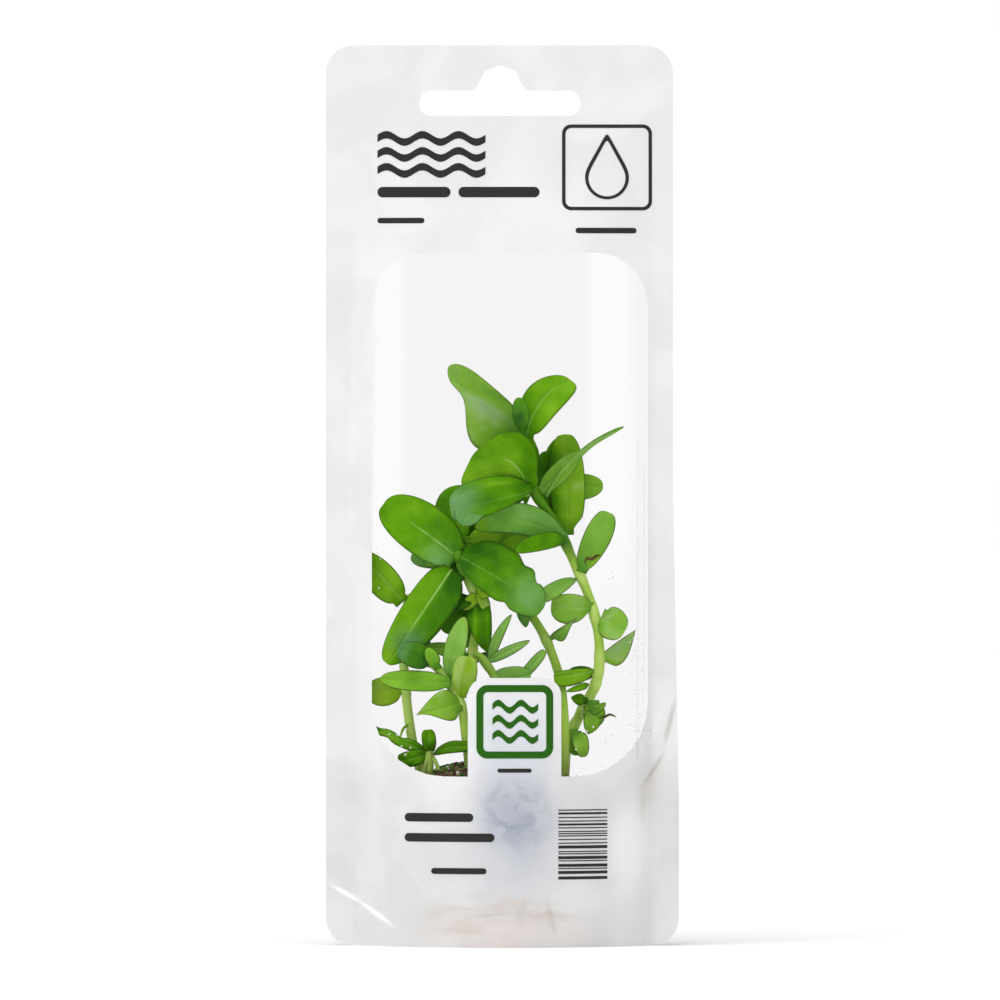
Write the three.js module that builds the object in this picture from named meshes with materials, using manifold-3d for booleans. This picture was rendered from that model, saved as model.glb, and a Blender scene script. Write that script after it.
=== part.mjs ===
// A small lemon bacopa in a net pot, sealed in a clear stand-up pouch that hangs on a shop hook.
// Millimetres, +Z up, the front of the pouch faces -Y, and the origin is under its middle.
import * as THREE from "three";
import { mergeVertices } from "three/addons/utils/BufferGeometryUtils.js";
import Module from "manifold-3d";

// Pouch
const POUCH_HEIGHT = 180;
const POUCH_LEFT = -35.3;
const POUCH_RIGHT_TOP = 34.1;
const POUCH_RIGHT_FOOT = 35.3;
const POUCH_CORNER = 5.5;
const SEAL_INSIDE = 29.3; // half-width of the space between the side seals
const FILM = 0.5;
const GAP = 0.3; // clearance between neighbouring pieces
const LENS_POWER = 0.8;

// Half-depth of the pouch in its middle plane at each height, from the foot to the flat header
const DEPTHS = [
  [0, 15.5],
  [6, 17.6],
  [14, 18.4],
  [24, 18.6],
  [34, 18.4],
  [46, 17.4],
  [58, 16.2],
  [70, 15],
  [82, 13.8],
  [94, 12.4],
  [104, 11],
  [113, 9.4],
  [121, 7.8],
  [129, 6.1],
  [137, 4.4],
  [145, 2.7],
  [152, 1.2],
  [158, 0.3],
  [163, 0],
];

// Hang slot: a long slot with a round crown in the middle of its upper edge
const SLOT_WIDTH = 32.2;
const SLOT_BOTTOM = 165.9;
const SLOT_TOP = 171;
const SLOT_END = 2.3;
const CROWN_WIDTH = 11.5;
const CROWN_TOP = 175.6;
const SLOT_X = -0.5;

// Bottom gusset: flat in the middle, rising to the side seams
const GUSSET_HALF_LENGTH = 27.6;
const GUSSET_FLAT = 15;
const GUSSET_RISE = 13;

// Net pot and what it holds
const POT_X = -1.6;
const POT_FLOOR = FILM + GAP;
const POT_HEIGHT = 33;
const POT_FOOT_RADIUS = 12.4;
const POT_TOP_RADIUS = 16.7;
const POT_RIM_RADIUS = 17.6;
const POT_RIM_HEIGHT = 1.8;
const POT_WALL = 1.1;
const POT_SIDES = 30;
const POT_SLOTS = 10;
const POT_SLOT_ROWS = [
  [5, 15],
  [18, 28.5],
];
const POT_SLOT_WIDTH = 3.2;
const SOIL_TOP = 36.8;
const SOIL_RIM = 33.4;
const SOIL_RADIUS = 15.2;

// Leaves: half-width profile, blade thickness and how far a leaf base stands off its stem's middle
const BLADE = 0.6;
const LEAF_BASE_START = 0.03;
const STEM_STANDOFF = 0.9;

const COLORS = {
  film: 0xe9eced,
  pot: 0x24282a,
  soil: 0x4a3428,
  stem: 0x9cbf4a,
  leaf: 0x5c9a1e,
  youngLeaf: 0x86b83a,
};

const wasm = await Module();
wasm.setup();

const part = new THREE.Group();

function surface(color, extra = {}) {
  return new THREE.MeshStandardMaterial({ color, roughness: 0.5, metalness: 0, ...extra });
}

function add(name, geometry, material) {
  const mesh = new THREE.Mesh(geometry, material);
  mesh.name = name;
  part.add(mesh);
}

// Booleans

function toSolid(geometry) {
  const bare = geometry.clone();
  bare.deleteAttribute("normal");
  bare.deleteAttribute("uv");
  const merged = mergeVertices(bare, 1e-4);
  const mesh = new wasm.Mesh({
    numProp: 3,
    vertProperties: new Float32Array(merged.attributes.position.array),
    triVerts: new Uint32Array(merged.index.array),
  });
  return new wasm.Manifold(mesh);
}

function fromSolid(solid) {
  const mesh = solid.getMesh();
  const geometry = new THREE.BufferGeometry();
  geometry.setAttribute("position", new THREE.BufferAttribute(mesh.vertProperties, 3));
  geometry.setIndex(new THREE.BufferAttribute(mesh.triVerts, 1));
  geometry.computeVertexNormals();
  return geometry;
}

// A closed mesh from its vertices and faces of three or four corners
function closedMesh(points, faces) {
  const index = [];
  for (const face of faces) {
    for (let i = 1; i + 1 < face.length; i++) index.push(face[0], face[i], face[i + 1]);
  }
  const geometry = new THREE.BufferGeometry();
  geometry.setAttribute("position", new THREE.Float32BufferAttribute(points.flat(), 3));
  geometry.setIndex(index);
  geometry.computeVertexNormals();
  return geometry;
}

// Pouch films

function middleDepth(z) {
  if (z <= DEPTHS[0][0]) return DEPTHS[0][1];
  for (let i = 1; i < DEPTHS.length; i++) {
    const [high, deep] = DEPTHS[i];
    const [low, before] = DEPTHS[i - 1];
    if (z <= high) return before + ((deep - before) * (z - low)) / (high - low);
  }
  return 0;
}

function halfDepth(x, z) {
  const across = Math.min(1, Math.abs(x) / SEAL_INSIDE);
  return middleDepth(z) * (1 - across * across) ** LENS_POWER;
}

function pouchOutline() {
  const r = POUCH_CORNER;
  const top = POUCH_HEIGHT;
  const shape = new THREE.Shape();
  shape.moveTo(POUCH_LEFT + r, 0);
  shape.lineTo(POUCH_RIGHT_FOOT - r, 0);
  shape.absarc(POUCH_RIGHT_FOOT - r, r, r, -Math.PI / 2, 0, false);
  shape.lineTo(POUCH_RIGHT_FOOT, 28);
  shape.lineTo(POUCH_RIGHT_TOP, 92);
  shape.absarc(POUCH_RIGHT_TOP - r, top - r, r, 0, Math.PI / 2, false);
  shape.absarc(POUCH_LEFT + r, top - r, r, Math.PI / 2, Math.PI, false);
  shape.absarc(POUCH_LEFT + r, r, r, Math.PI, 1.5 * Math.PI, false);
  return shape;
}

function hangSlot() {
  const half = SLOT_WIDTH / 2;
  const crown = CROWN_WIDTH / 2;
  const hole = new THREE.Path();
  hole.moveTo(SLOT_X - half + SLOT_END, SLOT_BOTTOM);
  hole.absarc(SLOT_X + half - SLOT_END, SLOT_BOTTOM + SLOT_END, SLOT_END, -Math.PI / 2, 0, false);
  hole.absarc(SLOT_X + half - SLOT_END, SLOT_TOP - SLOT_END, SLOT_END, 0, Math.PI / 2, false);
  hole.lineTo(SLOT_X + crown, SLOT_TOP);
  hole.quadraticCurveTo(SLOT_X + crown - 1.5, SLOT_TOP + 0.3, SLOT_X + crown - 2.2, SLOT_TOP + 2);
  hole.quadraticCurveTo(SLOT_X + 2, CROWN_TOP, SLOT_X, CROWN_TOP);
  hole.quadraticCurveTo(SLOT_X - 2, CROWN_TOP, SLOT_X - crown + 2.2, SLOT_TOP + 2);
  hole.quadraticCurveTo(SLOT_X - crown + 1.5, SLOT_TOP + 0.3, SLOT_X - crown, SLOT_TOP);
  hole.absarc(SLOT_X - half + SLOT_END, SLOT_TOP - SLOT_END, SLOT_END, Math.PI / 2, Math.PI, false);
  hole.absarc(SLOT_X - half + SLOT_END, SLOT_BOTTOM + SLOT_END, SLOT_END, Math.PI, 1.5 * Math.PI, false);
  return hole;
}

// A sheet over the whole outline, bulging to one side, before it is cut to shape. side is -1 in front.
function bulgingSheet(side) {
  const half = [0, 6.4, 12.8, 18.6, 23.4, 26.8, SEAL_INSIDE, 37];
  const xs = [...half.slice(1).reverse().map((x) => -x), ...half];
  const zs = [-1, ...DEPTHS.slice(1).map(([z]) => z), POUCH_HEIGHT + 1];
  const points = [];
  const faces = [];
  const inner = GAP / 2;
  for (const layer of [inner, inner + FILM]) {
    for (const z of zs) {
      for (const x of xs) points.push([x, side * (halfDepth(x, z) + layer), z]);
    }
  }
  const columns = xs.length;
  const rows = zs.length;
  const at = (layer, row, column) => layer * rows * columns + row * columns + column;
  for (let row = 0; row + 1 < rows; row++) {
    for (let column = 0; column + 1 < columns; column++) {
      const quad = (layer) => [
        at(layer, row, column),
        at(layer, row, column + 1),
        at(layer, row + 1, column + 1),
        at(layer, row + 1, column),
      ];
      faces.push(quad(1));
      faces.push(quad(0).reverse());
    }
  }
  for (let column = 0; column + 1 < columns; column++) {
    faces.push([at(0, 0, column), at(0, 0, column + 1), at(1, 0, column + 1), at(1, 0, column)]);
    const last = rows - 1;
    faces.push([at(1, last, column), at(1, last, column + 1), at(0, last, column + 1), at(0, last, column)]);
  }
  for (let row = 0; row + 1 < rows; row++) {
    faces.push([at(1, row, 0), at(1, row + 1, 0), at(0, row + 1, 0), at(0, row, 0)]);
    const last = columns - 1;
    faces.push([at(0, row, last), at(0, row + 1, last), at(1, row + 1, last), at(1, row, last)]);
  }
  if (side > 0) faces.forEach((face) => face.reverse());
  return closedMesh(points, faces);
}

function film(side) {
  const outline = pouchOutline();
  outline.holes.push(hangSlot());
  const reach = 60;
  const cutter = new THREE.ExtrudeGeometry(outline, { depth: reach, bevelEnabled: false, curveSegments: 5 });
  cutter.translate(0, 0, -reach / 2);
  cutter.rotateX(Math.PI / 2);
  return fromSolid(toSolid(bulgingSheet(side)).intersect(toSolid(cutter)));
}

function gussetHeight(x) {
  const out = Math.max(0, Math.abs(x) - GUSSET_FLAT) / (GUSSET_HALF_LENGTH - GUSSET_FLAT);
  return GUSSET_RISE * out * out;
}

function gusset() {
  const stations = 14;
  const lanes = 6;
  const points = [];
  const faces = [];
  for (const lift of [0, FILM]) {
    for (let i = 0; i <= stations; i++) {
      const x = GUSSET_HALF_LENGTH * ((2 * i) / stations - 1);
      const z = gussetHeight(x);
      const half = halfDepth(x, z) - 2.5 * GAP;
      for (let j = 0; j <= lanes; j++) points.push([x, half * ((2 * j) / lanes - 1), z + lift]);
    }
  }
  const at = (layer, i, j) => layer * (stations + 1) * (lanes + 1) + i * (lanes + 1) + j;
  for (let i = 0; i < stations; i++) {
    for (let j = 0; j < lanes; j++) {
      const quad = (layer) => [
        at(layer, i, j),
        at(layer, i + 1, j),
        at(layer, i + 1, j + 1),
        at(layer, i, j + 1),
      ];
      faces.push(quad(1));
      faces.push(quad(0).reverse());
    }
    faces.push([at(0, i, 0), at(0, i + 1, 0), at(1, i + 1, 0), at(1, i, 0)]);
    faces.push([at(1, i, lanes), at(1, i + 1, lanes), at(0, i + 1, lanes), at(0, i, lanes)]);
  }
  for (let j = 0; j < lanes; j++) {
    faces.push([at(1, 0, j), at(1, 0, j + 1), at(0, 0, j + 1), at(0, 0, j)]);
    faces.push([at(0, stations, j), at(0, stations, j + 1), at(1, stations, j + 1), at(1, stations, j)]);
  }
  return closedMesh(points, faces);
}

const clearFilm = { transparent: true, opacity: 0.35, roughness: 0.15 };
add("pouch_front", film(-1), surface(COLORS.film, clearFilm));
add("pouch_back", film(1), surface(COLORS.film, clearFilm));
add("pouch_gusset", gusset(), surface(COLORS.film, clearFilm));

// Pot and root ball

function lathe(profile, sides) {
  const geometry = new THREE.LatheGeometry(
    profile.map(([r, z]) => new THREE.Vector2(r, z)),
    sides,
  );
  geometry.rotateX(Math.PI / 2);
  return geometry;
}

function potRadius(z) {
  return POT_FOOT_RADIUS + ((POT_TOP_RADIUS - POT_FOOT_RADIUS) * z) / (POT_HEIGHT - POT_RIM_HEIGHT);
}

function netPot() {
  const wallTop = POT_HEIGHT - POT_RIM_HEIGHT;
  const shell = lathe(
    [
      [0, 0],
      [POT_FOOT_RADIUS, 0],
      [POT_TOP_RADIUS, wallTop],
      [POT_RIM_RADIUS, wallTop],
      [POT_RIM_RADIUS, POT_HEIGHT],
      [POT_TOP_RADIUS - POT_WALL, POT_HEIGHT],
      [POT_FOOT_RADIUS - POT_WALL, POT_WALL],
      [0, POT_WALL],
    ],
    POT_SIDES,
  );
  let solid = toSolid(shell);
  for (const [low, high] of POT_SLOT_ROWS) {
    for (let i = 0; i < POT_SLOTS; i++) {
      const slot = new THREE.BoxGeometry(4 * POT_WALL, POT_SLOT_WIDTH, high - low);
      slot.translate(potRadius((low + high) / 2) - POT_WALL / 2, 0, (low + high) / 2);
      slot.rotateZ(((i + 0.5) * 2 * Math.PI) / POT_SLOTS);
      solid = solid.subtract(toSolid(slot));
    }
  }
  const drain = new THREE.CylinderGeometry(4, 4, 4 * POT_WALL, 12).rotateX(Math.PI / 2);
  return fromSolid(solid.subtract(toSolid(drain)));
}

function soilHeight(x, y) {
  const out = Math.hypot(x - POT_X, y) / SOIL_RADIUS;
  return SOIL_TOP - (SOIL_TOP - SOIL_RIM) * out * out;
}

function rootBall() {
  const floor = POT_FLOOR + POT_WALL + GAP;
  const clearance = POT_WALL + GAP + 0.2;
  const foot = potRadius(POT_WALL) - clearance;
  const dome = [1, 0.8, 0.55, 0.3, 0].map((share) => {
    const r = share * SOIL_RADIUS * 0.97;
    return [r, soilHeight(POT_X + r, 0)];
  });
  const geometry = lathe([[0, floor], [foot, floor], ...dome], 20);
  geometry.translate(POT_X, 0, 0);
  return geometry;
}

add(
  "net_pot",
  netPot().translate(POT_X, 0, POT_FLOOR),
  surface(COLORS.pot, { roughness: 0.45 }),
);
add("root_ball", rootBall(), surface(COLORS.soil, { roughness: 0.95 }));

// Stems: tubes from just above the soil to the growing tip

function stem(points, radius, steps) {
  const path = new THREE.CatmullRomCurve3(points.map((p) => new THREE.Vector3(...p)));
  const section = new THREE.Shape();
  const sides = 6;
  for (let i = 0; i < sides; i++) {
    const turn = (2 * Math.PI * i) / sides;
    const x = radius * Math.cos(turn);
    const y = radius * Math.sin(turn);
    if (i === 0) section.moveTo(x, y);
    else section.lineTo(x, y);
  }
  return new THREE.ExtrudeGeometry(section, { steps, bevelEnabled: false, extrudePath: path });
}

function rooted(x, y) {
  return [x, y, soilHeight(x, y) + 0.5];
}

const STEMS = {
  tall: {
    radius: 0.95,
    points: [
      rooted(12.4, 4),
      [13.1, 4, 41.1],
      [15.5, 4, 46.1],
      [18.9, 3.6, 53.1],
      [19.3, 3.2, 61.1],
      [17.5, 2.8, 69.1],
      [14.1, 2.2, 77.1],
      [10.6, 1.4, 84.4],
      [6.3, 0.6, 90.9],
      [4.4, 0, 97.5],
      [3.5, -0.4, 102.6],
    ],
  },
  middle: {
    radius: 0.85,
    points: [
      rooted(12.2, -1.6),
      [12.4, -1.4, 42.1],
      [12.1, -0.8, 48.5],
      [11.3, 0.4, 54],
      [8.9, 2, 60.7],
      [6.1, 3.4, 65.5],
      [2.6, 4.6, 69.6],
      [-1.4, 5.2, 73.6],
    ],
  },
  left: {
    radius: 0.95,
    points: [
      [-16.2, -0.6, 34.6],
      [-17.4, -0.6, 38],
      [-18.9, -0.4, 46.7],
      [-19.7, 0, 55.5],
      [-20.3, 0.6, 60.5],
      [-19.4, 0.8, 66],
      [-18.3, 0.6, 70],
    ],
  },
  front: {
    radius: 0.95,
    points: [
      rooted(-6.6, -6.2),
      [-7.2, -7, 41.2],
      [-8.4, -7.8, 48.4],
      [-11.3, -8.4, 53.5],
      [-14, -8.6, 56.8],
    ],
  },
  centre: {
    radius: 0.95,
    points: [
      rooted(-3.6, 0),
      [-4.8, 0, 46],
      [-6.3, 0, 54.5],
      [-5.8, 0, 60],
      [-4.8, -0.2, 66],
      [-5.4, -0.3, 70],
      [-7.6, -0.5, 74.6],
      [-9, -0.6, 78.6],
    ],
  },
};

for (const [name, { points, radius }] of Object.entries(STEMS)) {
  const steps = Math.max(8, 2 * points.length - 4);
  add("stem_" + name, stem(points, radius, steps), surface(COLORS.stem));
}

// Leaves

// Half-width on one side at a share t of the length. hand is -1 on the left. peak is where the widest
// place lies, and point grows as the tip sharpens.
function halfWidth(spec, t, hand) {
  const { width, peak = 0.42, point = 1.1, left, right, dents = [] } = spec;
  const [share, widest, sharp] = (hand < 0 ? left : right) ?? [1, peak, point];
  const u = LEAF_BASE_START + (1 - LEAF_BASE_START) * t;
  const rise = (u / widest) ** (widest * sharp);
  const fall = ((1 - u) / (1 - widest)) ** ((1 - widest) * sharp);
  let half = (width / 2) * share * rise * fall;
  for (const [side, at, depth, reach] of dents) {
    if (side === hand) half *= 1 - depth * Math.exp(-(((t - at) / reach) ** 2));
  }
  return half;
}

// One leaf as a thin closed blade. bend lifts its middle towards its upper face, sway moves it
// sideways, roll turns the blade on its length, and fold lifts the margins.
function leafBlade(spec) {
  const { base, tip, width, roll = 0, bend = 1, sway = 0, fold = 0.15, standoff = STEM_STANDOFF } = spec;
  const start = new THREE.Vector3(...base);
  const end = new THREE.Vector3(...tip);
  const along = end.clone().sub(start).normalize();
  start.addScaledVector(along, standoff);
  const facing = Math.abs(along.y) > 0.75 ? new THREE.Vector3(0, 0, 1) : new THREE.Vector3(0, -1, 0);
  const up = facing.addScaledVector(along, -facing.dot(along)).normalize();
  up.applyAxisAngle(along, (roll * Math.PI) / 180);
  const side = new THREE.Vector3().crossVectors(along, up);
  const middle = start.clone().lerp(end, 0.5);
  middle.addScaledVector(up, 2 * bend).addScaledVector(side, 2 * sway);
  const rib = new THREE.QuadraticBezierCurve3(start, middle, end);

  const small = width < 4;
  const stations = small ? 5 : 6;
  const lanes = small ? 2 : 4;
  const points = [];
  const faces = [];
  const ring = 2 * lanes;
  for (let i = 0; i < stations; i++) {
    const t = i / stations;
    const centre = rib.getPoint(t);
    const forward = rib.getTangent(t);
    const lift = up.clone().addScaledVector(forward, -up.dot(forward)).normalize();
    const halves = [halfWidth(spec, t, -1), halfWidth(spec, t, 1)];
    const thick = (BLADE / 2) * Math.min(1, ...halves);
    for (let k = 0; k < ring; k++) {
      const top = k <= lanes;
      const across = top ? 1 - (2 * k) / lanes : (2 * (k - lanes)) / lanes - 1;
      const half = halves[across < 0 ? 0 : 1];
      const rise = fold * half * Math.abs(across) ** 1.5 + (top ? 1 : -1) * thick * (1 - across * across);
      const p = centre.clone().addScaledVector(side, half * across).addScaledVector(lift, rise);
      points.push(p.toArray());
    }
  }
  points.push(rib.getPoint(1).toArray());
  const tipIndex = points.length - 1;
  for (let k = 0; k < ring; k++) {
    const next = (k + 1) % ring;
    for (let i = 0; i + 1 < stations; i++) {
      const a = i * ring;
      const b = a + ring;
      faces.push([b + k, b + next, a + next, a + k]);
    }
    const last = (stations - 1) * ring;
    faces.push([tipIndex, last + next, last + k]);
  }
  faces.push(Array.from({ length: ring }, (_, k) => k));
  return closedMesh(points, faces);
}

// Each leaf from where it leaves its stem to its tip, with its greatest width. left and right change one
// side of it, as seen on the way from base to tip: its share of the half-width, peak and point. A dent
// draws the margin in: on which side, -1 for the left, where along the leaf, how deep and how far.
const LEAVES = {
  tall_01: {
    base: [3.8, 2.1, 102.6], tip: [-10.9, 1.4, 115.7], width: 17, roll: -36, fold: 0.42, sway: -0.8,
    left: [0.87, 0.3, 1.2], right: [0.9, 0.5, 1.1], dents: [[-1, 0.7, 0.74, 0.27]],
  },
  tall_02: {
    base: [4.6, -2.9, 102.5], tip: [13.5, -1.5, 113.2], width: 8, roll: -8, sway: -1.5,
    left: [0.92, 0.45, 0.75], right: [1.02, 0.55, 0.75],
  },
  tall_bud: { base: [4.1, -4.2, 103], tip: [3.2, -6.6, 109.6], width: 3.4, fold: 0, bend: 0.3, point: 0.8 },
  tall_03: {
    base: [6, -0.7, 91.2], tip: [-6.6, -1, 97], width: 16.8, roll: -30, fold: 0.3, bend: 1.4, sway: 4.7,
    left: [0.98, 0.6, 0.8], right: [1, 0.38, 0.8],
  },
  tall_04: {
    base: [6, -1.8, 90.8], tip: [-10.5, -5, 87.4], width: 10, roll: -8, left: [0.6, 0.8, 0.9],
    right: [1, 0.55, 0.75],
  },
  tall_05: {
    base: [8.6, -0.6, 90.4], tip: [24.4, -2.8, 103.8], width: 5.2, roll: 76, bend: -1.7, sway: -0.8,
  },
  tall_06: { base: [6.9, 2.2, 91.2], tip: [20.2, 6.6, 92], width: 5.4, bend: -1 },
  tall_07: {
    base: [13.3, 3.6, 82.4], tip: [12.5, 2.8, 102.3], width: 7.3, bend: 0.3, peak: 0.5, point: 0.7,
  },
  tall_08: {
    base: [12.6, -0.2, 81.6], tip: [-5.4, -0.2, 84.2], width: 7.4, roll: -8, sway: 2.2,
    left: [0.75, 0.5, 0.7], right: [1, 0.5, 0.8],
  },
  tall_09: {
    base: [12.9, -0.3, 80.9], tip: [2.6, -6.6, 78.7], width: 4.2, left: [0.4, 0.5, 0.8],
    right: [1.3, 0.5, 0.8],
  },
  tall_10: {
    base: [16.4, 0.9, 74.6], tip: [20.9, -0.6, 86.8], width: 6, roll: 10, left: [1.05, 0.45, 0.7],
    right: [0.86, 0.68, 0.9],
  },
  tall_11: {
    base: [15.3, 1.7, 73.5], tip: [8.1, -3, 69.2], width: 4.2, left: [0.48, 0.75, 0.8],
    right: [1, 0.75, 0.8],
  },
  tall_12: {
    base: [18.2, 1.8, 67.4], tip: [9.7, -0.6, 68], width: 6, roll: -8, left: [1.1, 0.62, 1.15],
    right: [0.95, 0.55, 0.7],
  },
  tall_13: {
    base: [19.7, 2.2, 65.6], tip: [24.5, -1, 62.9], width: 7, bend: 0.6, left: [0.96, 0.45, 0.6],
    right: [0.93, 0.5, 0.6],
  },
  tall_14: {
    base: [20.4, 3.4, 56.1], tip: [26.7, 2.4, 63.3], width: 6, bend: 0.3, left: [0.3, 0.25, 2],
    right: [1, 0.25, 2],
  },
  tall_15: {
    base: [18.8, 2.9, 55], tip: [10.2, -2.4, 53.8], width: 4, roll: -10, left: [1.1, 0.72, 0.9],
    right: [0.6, 0.7, 0.7],
  },
  tall_16: { base: [17, 1.3, 46.6], tip: [20.7, -2.7, 48.6], width: 2.2, roll: 15 },
  tall_17: { base: [18.8, 3, 47.6], tip: [17.1, 0.6, 42.8], width: 3.4, point: 0.8, peak: 0.6 },
  tall_18: { base: [15, 2.8, 43], tip: [16.3, -1.6, 37.7], width: 3.4, point: 0.8, peak: 0.5 },
  tall_19: { base: [17.6, 1.8, 52.3], tip: [12.7, -2.4, 50.8], width: 1.5 },
  tall_20: { base: [17, 2.4, 48.8], tip: [13.7, 1.6, 49.6], width: 2.4, bend: 0.2, peak: 0.3 },
  middle_01: {
    base: [9.4, 1.2, 61.2], tip: [15.2, -1.6, 65.7], width: 3.6, roll: 10, left: [0.45, 0.3, 1],
    right: [1, 0.25, 3.4],
  },
  middle_02: { base: [4, 3.4, 67.9], tip: [4.7, -0.4, 63.6], width: 2.8 },
  centre_01: {
    base: [-9.4, -0.8, 78], tip: [-23.9, 0, 88.2], width: 10.8, roll: 12, fold: 0.3, bend: 1.2,
    point: 0.72,
  },
  centre_02: {
    base: [-8.2, -2, 77.6], tip: [8.2, -5, 67.4], width: 12.6, roll: -20, fold: 0.3,
    left: [1, 0.38, 0.95], right: [0.78, 0.6, 0.8],
  },
  centre_03: {
    base: [-8.8, 2.8, 79.2], tip: [-9.4, 7.6, 92.3], width: 9, left: [1.2, 0.6, 0.8],
    right: [0.4, 0.4, 0.8],
  },
  centre_04: { base: [-7.2, 1.7, 80.8], tip: [0.5, 2.9, 83.4], width: 5, roll: 24 },
  centre_05: {
    base: [-10.4, -1.8, 75], tip: [-23, -5.6, 56.3], width: 11, bend: 1.4, left: [0.95, 0.34, 0.85],
    right: [0.75, 0.4, 0.6],
  },
  centre_06: { base: [-9.6, 0.6, 77.2], tip: [-18.4, 4.6, 77.6], width: 5.4, roll: 20 },
  centre_07: {
    base: [-4.5, -1.7, 69], tip: [-3.1, -3.4, 58.9], width: 5.2, roll: 10, left: [0.85, 0.25, 0.9],
    right: [1.2, 0.5, 0.6],
  },
  centre_08: { base: [-5.9, -1, 71.4], tip: [-1.4, -3.6, 71], width: 3.2, roll: 20 },
  centre_09: { base: [-6, -0.9, 69.8], tip: [-12.7, -3.2, 66], width: 4.4, roll: 30 },
  centre_10: { base: [-6.4, -0.7, 57.8], tip: [-15.7, -4, 60], width: 3, roll: 10 },
  left_01: {
    base: [-20, -0.2, 68.8], tip: [-28.3, 0, 78.6], width: 7, fold: 0.05, bend: 0.2, left: [1, 0.42, 0.9],
    right: [0.84, 0.42, 0.9],
  },
  left_02: { base: [-19.9, -1, 51.8], tip: [-27.5, -1.2, 50.4], width: 6, roll: -10, point: 0.8 },
  front_01: { base: [-13.9, -8.8, 56.9], tip: [-20.8, -7.8, 59.4], width: 5.2, point: 0.75 },
  front_02: { base: [-10.6, -9.4, 54], tip: [-7.6, -10.6, 65.8], width: 4.4, roll: -10, point: 0.9 },
  front_03: { base: [-10.6, -10.2, 52.7], tip: [-24.3, -4.8, 53.4], width: 4.2, point: 0.75 },
  front_04: {
    base: [-8.4, -9.1, 48.6], tip: [-17.4, -9.2, 46.1], width: 6, left: [1, 0.2, 3], right: [1, 0.3, 1.8],
  },
  front_05: { base: [-8.1, -9, 49.8], tip: [-7.1, -12.2, 58], width: 5, bend: 0.4, peak: 0.6, point: 0.7 },
  back_01: { base: [11.2, 2.9, 82.6], tip: [4.6, 8.8, 85.4], width: 5 },
  back_02: { base: [16.6, 3.6, 75.4], tip: [20.4, 6, 83], width: 3.6 },
  back_03: { base: [18.9, 4.2, 54.6], tip: [13, 9, 54], width: 3.2 },
  back_04: { base: [-8, 0.6, 75.6], tip: [-2.2, 9.4, 81], width: 6.6 },
  back_05: { base: [-5.4, 0.9, 62], tip: [-10, 9.6, 65.6], width: 6.4 },
  back_06: { base: [-6, 0.9, 56.4], tip: [1.8, 10.4, 60], width: 6 },
  back_07: { base: [-19.3, 1, 57.4], tip: [-15.6, 7.6, 62], width: 5.4 },
};

for (const [name, spec] of Object.entries(LEAVES)) {
  const color = spec.width < 4 ? COLORS.youngLeaf : COLORS.leaf;
  add("leaf_" + name, leafBlade(spec), surface(color, { side: THREE.DoubleSide }));
}

// Small shoots whose narrow leaves are one piece with their stem

function shoot(name, points, radius, leaves) {
  let solid = toSolid(stem(points, radius, 8));
  for (const spec of leaves) solid = solid.add(toSolid(leafBlade({ ...spec, standoff: 0 })));
  add(name, fromSolid(solid), surface(COLORS.youngLeaf));
}

const SHORT_SHOOT = [
  rooted(0.4, -6),
  [0.6, -6, 44],
  [0, -6, 50],
  [-1.5, -6, 53.7],
  [-2.8, -6, 55.7],
  [-4, -6, 57.3],
  [-5.5, -6, 58.4],
];
shoot("shoot_short", SHORT_SHOOT, 1.05, [
  { base: [-2.7, -6, 56.8], tip: [1.8, -7.4, 66.3], width: 2.1, sway: -0.5 },
  { base: [-3, -6, 56.9], tip: [5.5, -7.6, 61.1], width: 2.1 },
  { base: [-1.5, -6, 52.8], tip: [5.6, -7.8, 54.2], width: 5, point: 0.6 },
  { base: [-0.2, -6, 49], tip: [8.5, -5.2, 59.1], width: 2.2, peak: 0.72, point: 1.3 },
]);

shoot("sprout", [[-14.6, -4.8, 34.9], [-14.6, -4.9, 36.6], [-14.6, -5, 38], [-14.7, -5, 39]], 1.3, [
  { base: [-15, -5, 38.7], tip: [-26.8, -3.6, 44], width: 1.9 },
  { base: [-14.4, -5, 38.7], tip: [-14.8, -7, 43.4], width: 2.9, point: 0.9 },
  { base: [-14.9, -5, 38.3], tip: [-20.8, -6.4, 36.7], width: 3.3, point: 0.8, peak: 0.55 },
  { base: [-13.9, -5, 38.3], tip: [-5.4, -8.8, 39.7], width: 2.5, sway: -0.9, peak: 0.6 },
]);

export default part;
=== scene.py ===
"""Looks of a small lemon bacopa in a net pot, sealed in a clear stand-up pouch.

Lengths are in millimetres in the tables and functions, and in metres in Blender.
"""

import math
import random

import bpy
import numpy as np
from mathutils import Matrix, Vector, noise
from mathutils.geometry import delaunay_2d_cdt


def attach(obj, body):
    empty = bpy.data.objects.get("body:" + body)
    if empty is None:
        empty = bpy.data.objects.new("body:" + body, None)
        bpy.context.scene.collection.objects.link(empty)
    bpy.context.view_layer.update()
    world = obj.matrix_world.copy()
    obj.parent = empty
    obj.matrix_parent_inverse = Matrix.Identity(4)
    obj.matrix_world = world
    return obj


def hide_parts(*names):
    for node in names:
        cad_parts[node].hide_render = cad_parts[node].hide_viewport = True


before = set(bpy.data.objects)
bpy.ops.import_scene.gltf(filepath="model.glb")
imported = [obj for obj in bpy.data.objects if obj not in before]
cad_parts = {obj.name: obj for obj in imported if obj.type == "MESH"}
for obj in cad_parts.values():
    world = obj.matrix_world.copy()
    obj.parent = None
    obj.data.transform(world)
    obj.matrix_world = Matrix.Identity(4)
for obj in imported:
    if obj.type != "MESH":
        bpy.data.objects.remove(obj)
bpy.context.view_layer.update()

MM = 0.001

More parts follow.
